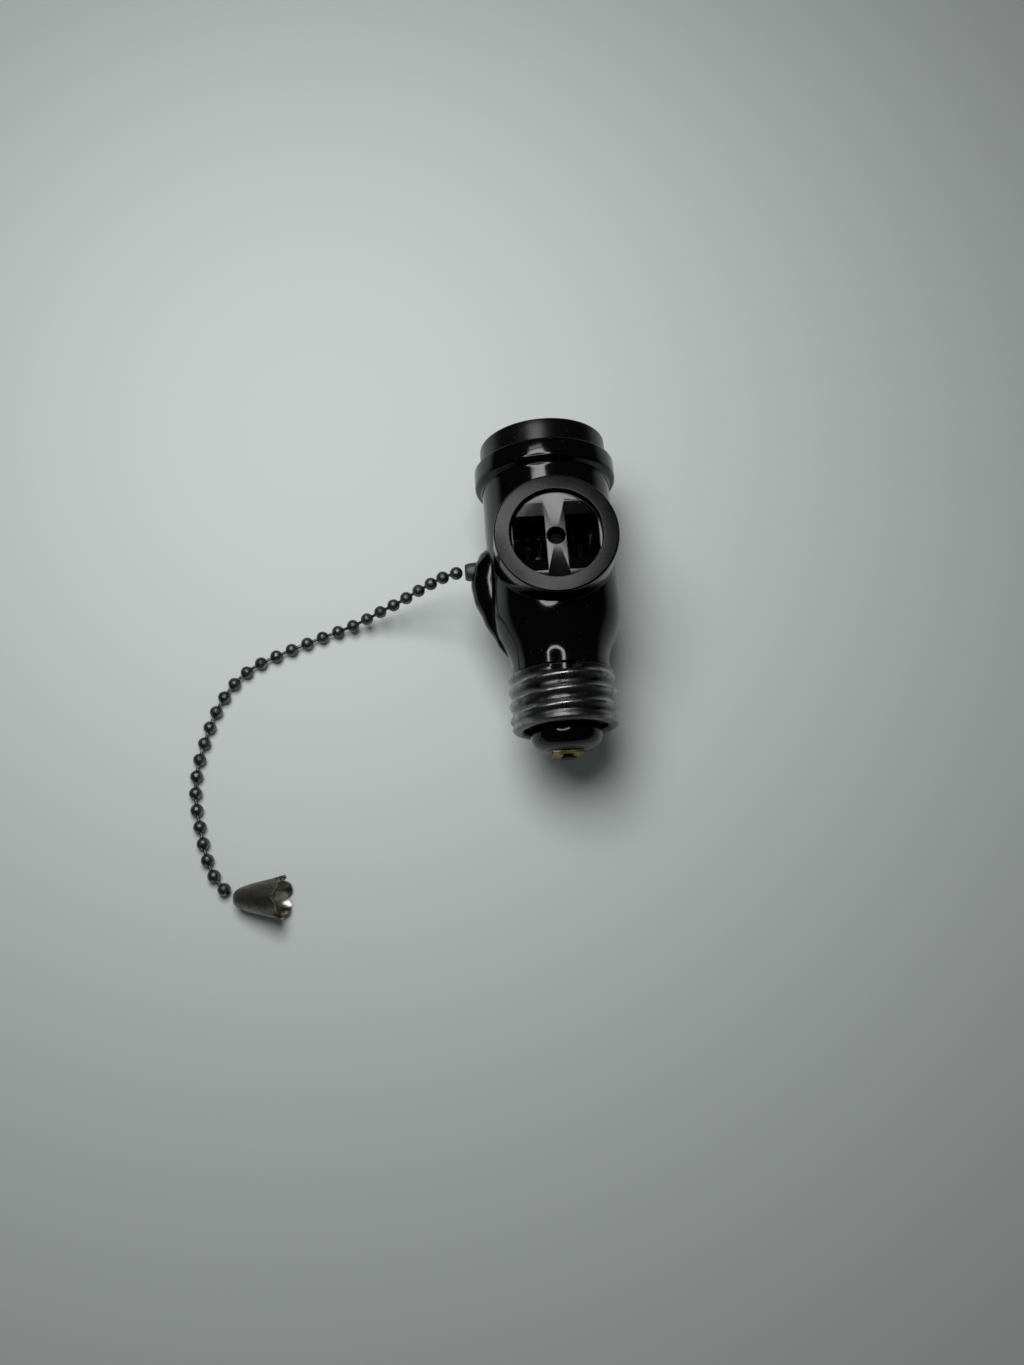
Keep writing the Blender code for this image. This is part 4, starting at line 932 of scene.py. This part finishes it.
def makeLampShell():
    low = lampShell["bottom"]
    floorRows = [(lampShell["hole"], low), (9.0, low), (11.6, low), (12.6, low + 0.1), (13.2, low + 0.6)]
    rows = [lambda angle, spot=spot: spot for spot in floorRows]
    start = low + 1.6
    count = round((lampShell["top"] - start) / thread["pitch"] * thread["perPitch"])
    for i in range(count + 1):
        height = start + (lampShell["top"] - start) * i / count
        rows.append(lambda angle, height=height: (
            threadRadius(lampShell["root"], height, start, lampShell["top"], 0, angle), height,
        ))
    piece = rolledSheet("lampScrewShell", rows, thread["steps"])
    thicken(piece, thread["sheet"], 1)
    for face in (-1, 1):
        carve(piece, turned(
            "screwClearance", plainBore(lampShell["screwHole"], -1, 1), 24, "Y",
            (axisX, baseY + low * mm, axisZ + face * body["screwOut"] * mm),
        ))
    smoothShade(piece, 50)
    return dress(piece, "adapter", "shell_aluminium", shellAluminium, "lamp_screw_shell")


contactPlate = {"width": 7.7, "depth": 6.2, "lip": 0.6, "sheet": 0.42}


def makeContactPlate():
    # a square brass plate, its two ends folded up against the dome
    low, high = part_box("base_contact_plate")
    y = low.y + contactPlate["sheet"] * mm
    half, lip = contactPlate["width"] / 2 * mm, contactPlate["depth"] / 2 * mm
    clearSelection()
    bpy.ops.mesh.primitive_plane_add(size=1, location=(axisX, y, axisZ), rotation=(math.pi / 2, 0, 0))
    piece = bpy.context.object
    piece.name = "baseContactPlate"
    piece.scale = (2 * half, 2 * lip - 0.5 * mm, 1)
    bpy.ops.object.transform_apply(location=True, rotation=True, scale=True)
    for face in (-1, 1):
        bpy.ops.object.mode_set(mode="EDIT")
        bpy.ops.mesh.select_mode(type="EDGE")
        bpy.ops.mesh.select_all(action="DESELECT")
        bpy.ops.object.mode_set(mode="OBJECT")
        outer = max(face * (v.co.z - axisZ) for v in piece.data.vertices)
        for edge in piece.data.edges:
            ends = [face * (piece.data.vertices[i].co.z - axisZ) for i in edge.vertices]
            edge.select = min(ends) > outer - 0.01 * mm
        bpy.ops.object.mode_set(mode="EDIT")
        bpy.ops.mesh.extrude_region_move(TRANSFORM_OT_translate={"value": (0, 0.12 * mm, face * 0.2 * mm)})
        fold = (0, contactPlate["lip"] * mm, face * 0.1 * mm)
        bpy.ops.mesh.extrude_region_move(TRANSFORM_OT_translate={"value": fold})
        bpy.ops.transform.resize(value=(0.93, 1, 1), center_override=(axisX, y, axisZ))
        bpy.ops.object.mode_set(mode="OBJECT")
    thicken(piece, contactPlate["sheet"], 0)
    pick(piece)
    soften = piece.modifiers.new("soften", "BEVEL")
    soften.width = 0.1 * mm
    soften.segments = 2
    bpy.ops.object.modifier_apply(modifier=soften.name)
    smoothShade(piece, 40)
    return dress(piece, "adapter", "contact_brass", contactBrass, "base_contact_plate")


mouthCollar = makeCollar()
baseDome = makeDome()
baseScrewShell = makeBaseShell()
lampScrewShell = makeLampShell()
baseContactPlate = makeContactPlate()
print("collar, dome and shells made")


# finishes of the parts that keep their own shape

slotFinish = {
    "phenolic": glossPhenolic,
    "shell_aluminium": shellAluminium,
    # the kept brass parts take the near-black brass, painted shade for their depth
    "contact_brass": shadedBrass,
    "fibre": fibreBoard,
    "steel": plateSteel,
    "chain_nickel": chainNickel,
}
for part in frame["record"]["subparts"]:
    node = frame["nodes"][part["node"]]
    node.data.materials.clear()
    node.data.materials.append(slotFinish[part["material_slot"]])
# the rivet takes the near-black steel, painted shade for its deep well
rivet = frame["nodes"]["outlet_rivet"]
rivet.data.materials.clear()
rivet.data.materials.append(shadedSteel)
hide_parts("inner_chain")
print("kept parts finished")


# table and light

table = {"size": 2.4, "colour": "#C5CCCA", "roughness": 0.6}
clearSelection()
bpy.ops.mesh.primitive_plane_add(size=table["size"], location=(0, 0, 0))
tableTop = bpy.context.object
tableTop.name = "tableTop"
# pale laminate, matt enough that the lamps leave no highlight on it
laminate = newMaterial("paleMattLaminate", table["colour"], table["roughness"])[0]
tableTop.data.materials.append(laminate)

ringLamp = {"place": (-0.060, 0.060, 0.267), "inner": 0.068, "outer": 0.094, "glow": 8.0, "power": 0.62}
window = {"place": (-0.085, 0.187, 0.350), "size": (0.150, 0.026), "glow": 6.0}
skylight = {"place": (-0.085, 0.224, 0.350), "size": (0.120, 0.026), "glow": 3.5}
windowLight = {"place": (-0.085, 0.215, 0.350), "size": (0.170, 0.090), "power": 0.25}


def makeGlow(name, glow):
    # an even glow that only shows in reflections
    tube = bpy.data.materials.new(name)
    tube.use_nodes = True
    tube.node_tree.nodes.clear()
    shine = addNode(tube, "ShaderNodeEmission", {"Strength": glow})
    ending = addNode(tube, "ShaderNodeOutputMaterial")
    wire(tube, shine.outputs[0], ending.inputs["Surface"])
    return tube


def showInReflections(card, glow):
    card.data.materials.append(makeGlow(card.name, glow))
    card.visible_camera = False
    card.visible_diffuse = False
    card.visible_shadow = False


def addSoftLight(name, place, power, shape, size):
    soft = bpy.data.lights.new(name, "AREA")
    soft.shape = shape
    soft.size = size[0]
    if shape == "RECTANGLE":
        soft.size_y = size[1]
    soft.energy = power
    light = bpy.data.objects.new(name, soft)
    light.location = place
    light.visible_glossy = False
    bpy.context.scene.collection.objects.link(light)


def makeRingLamp():
    # glossy parts mirror the lamp's ring, and a soft disc of the same size gives its light
    clearSelection()
    x, y, z = ringLamp["place"]
    bpy.ops.mesh.primitive_circle_add(vertices=96, radius=ringLamp["inner"], location=(x, y, z))
    glow = bpy.context.object
    glow.name = "ringLamp"
    bpy.ops.object.mode_set(mode="EDIT")
    bpy.ops.mesh.select_all(action="SELECT")
    bpy.ops.mesh.extrude_edges_move(TRANSFORM_OT_translate={"value": (0, 0, 0)})
    grow = ringLamp["outer"] / ringLamp["inner"]
    bpy.ops.transform.resize(value=(grow, grow, 1), center_override=(x, y, z))
    bpy.ops.object.mode_set(mode="OBJECT")
    showInReflections(glow, ringLamp["glow"])
    addSoftLight("ringLampLight", ringLamp["place"], ringLamp["power"], "DISK", (2 * ringLamp["outer"],))


def makeCard(name, card):
    clearSelection()
    bpy.ops.mesh.primitive_plane_add(size=1, location=card["place"])
    made = bpy.context.object
    made.name = name
    made.scale = (*card["size"], 1)
    showInReflections(made, card["glow"])


makeCard("windowGlow", window)
makeCard("skylightGlow", skylight)
addSoftLight("windowLight", windowLight["place"], windowLight["power"], "RECTANGLE", windowLight["size"])
makeRingLamp()
room = bpy.data.worlds.new("room")
bpy.context.scene.world = room
room.use_nodes = True
room.node_tree.nodes.clear()
rays = addNode(room, "ShaderNodeLightPath")
dim = addNode(
    room, "ShaderNodeMapRange", {"To Min": 0.10, "To Max": 0.012}, {"Value": rays.outputs["Is Glossy Ray"]}
)
sky = addNode(
    room, "ShaderNodeBackground", {"Color": linear("#EEF3F2")}, {"Strength": dim.outputs[0]}
)
ending = addNode(room, "ShaderNodeOutputWorld")
wire(room, sky.outputs[0], ending.inputs["Surface"])
bpy.context.scene.view_settings.view_transform = "Standard"
print("table and light set")
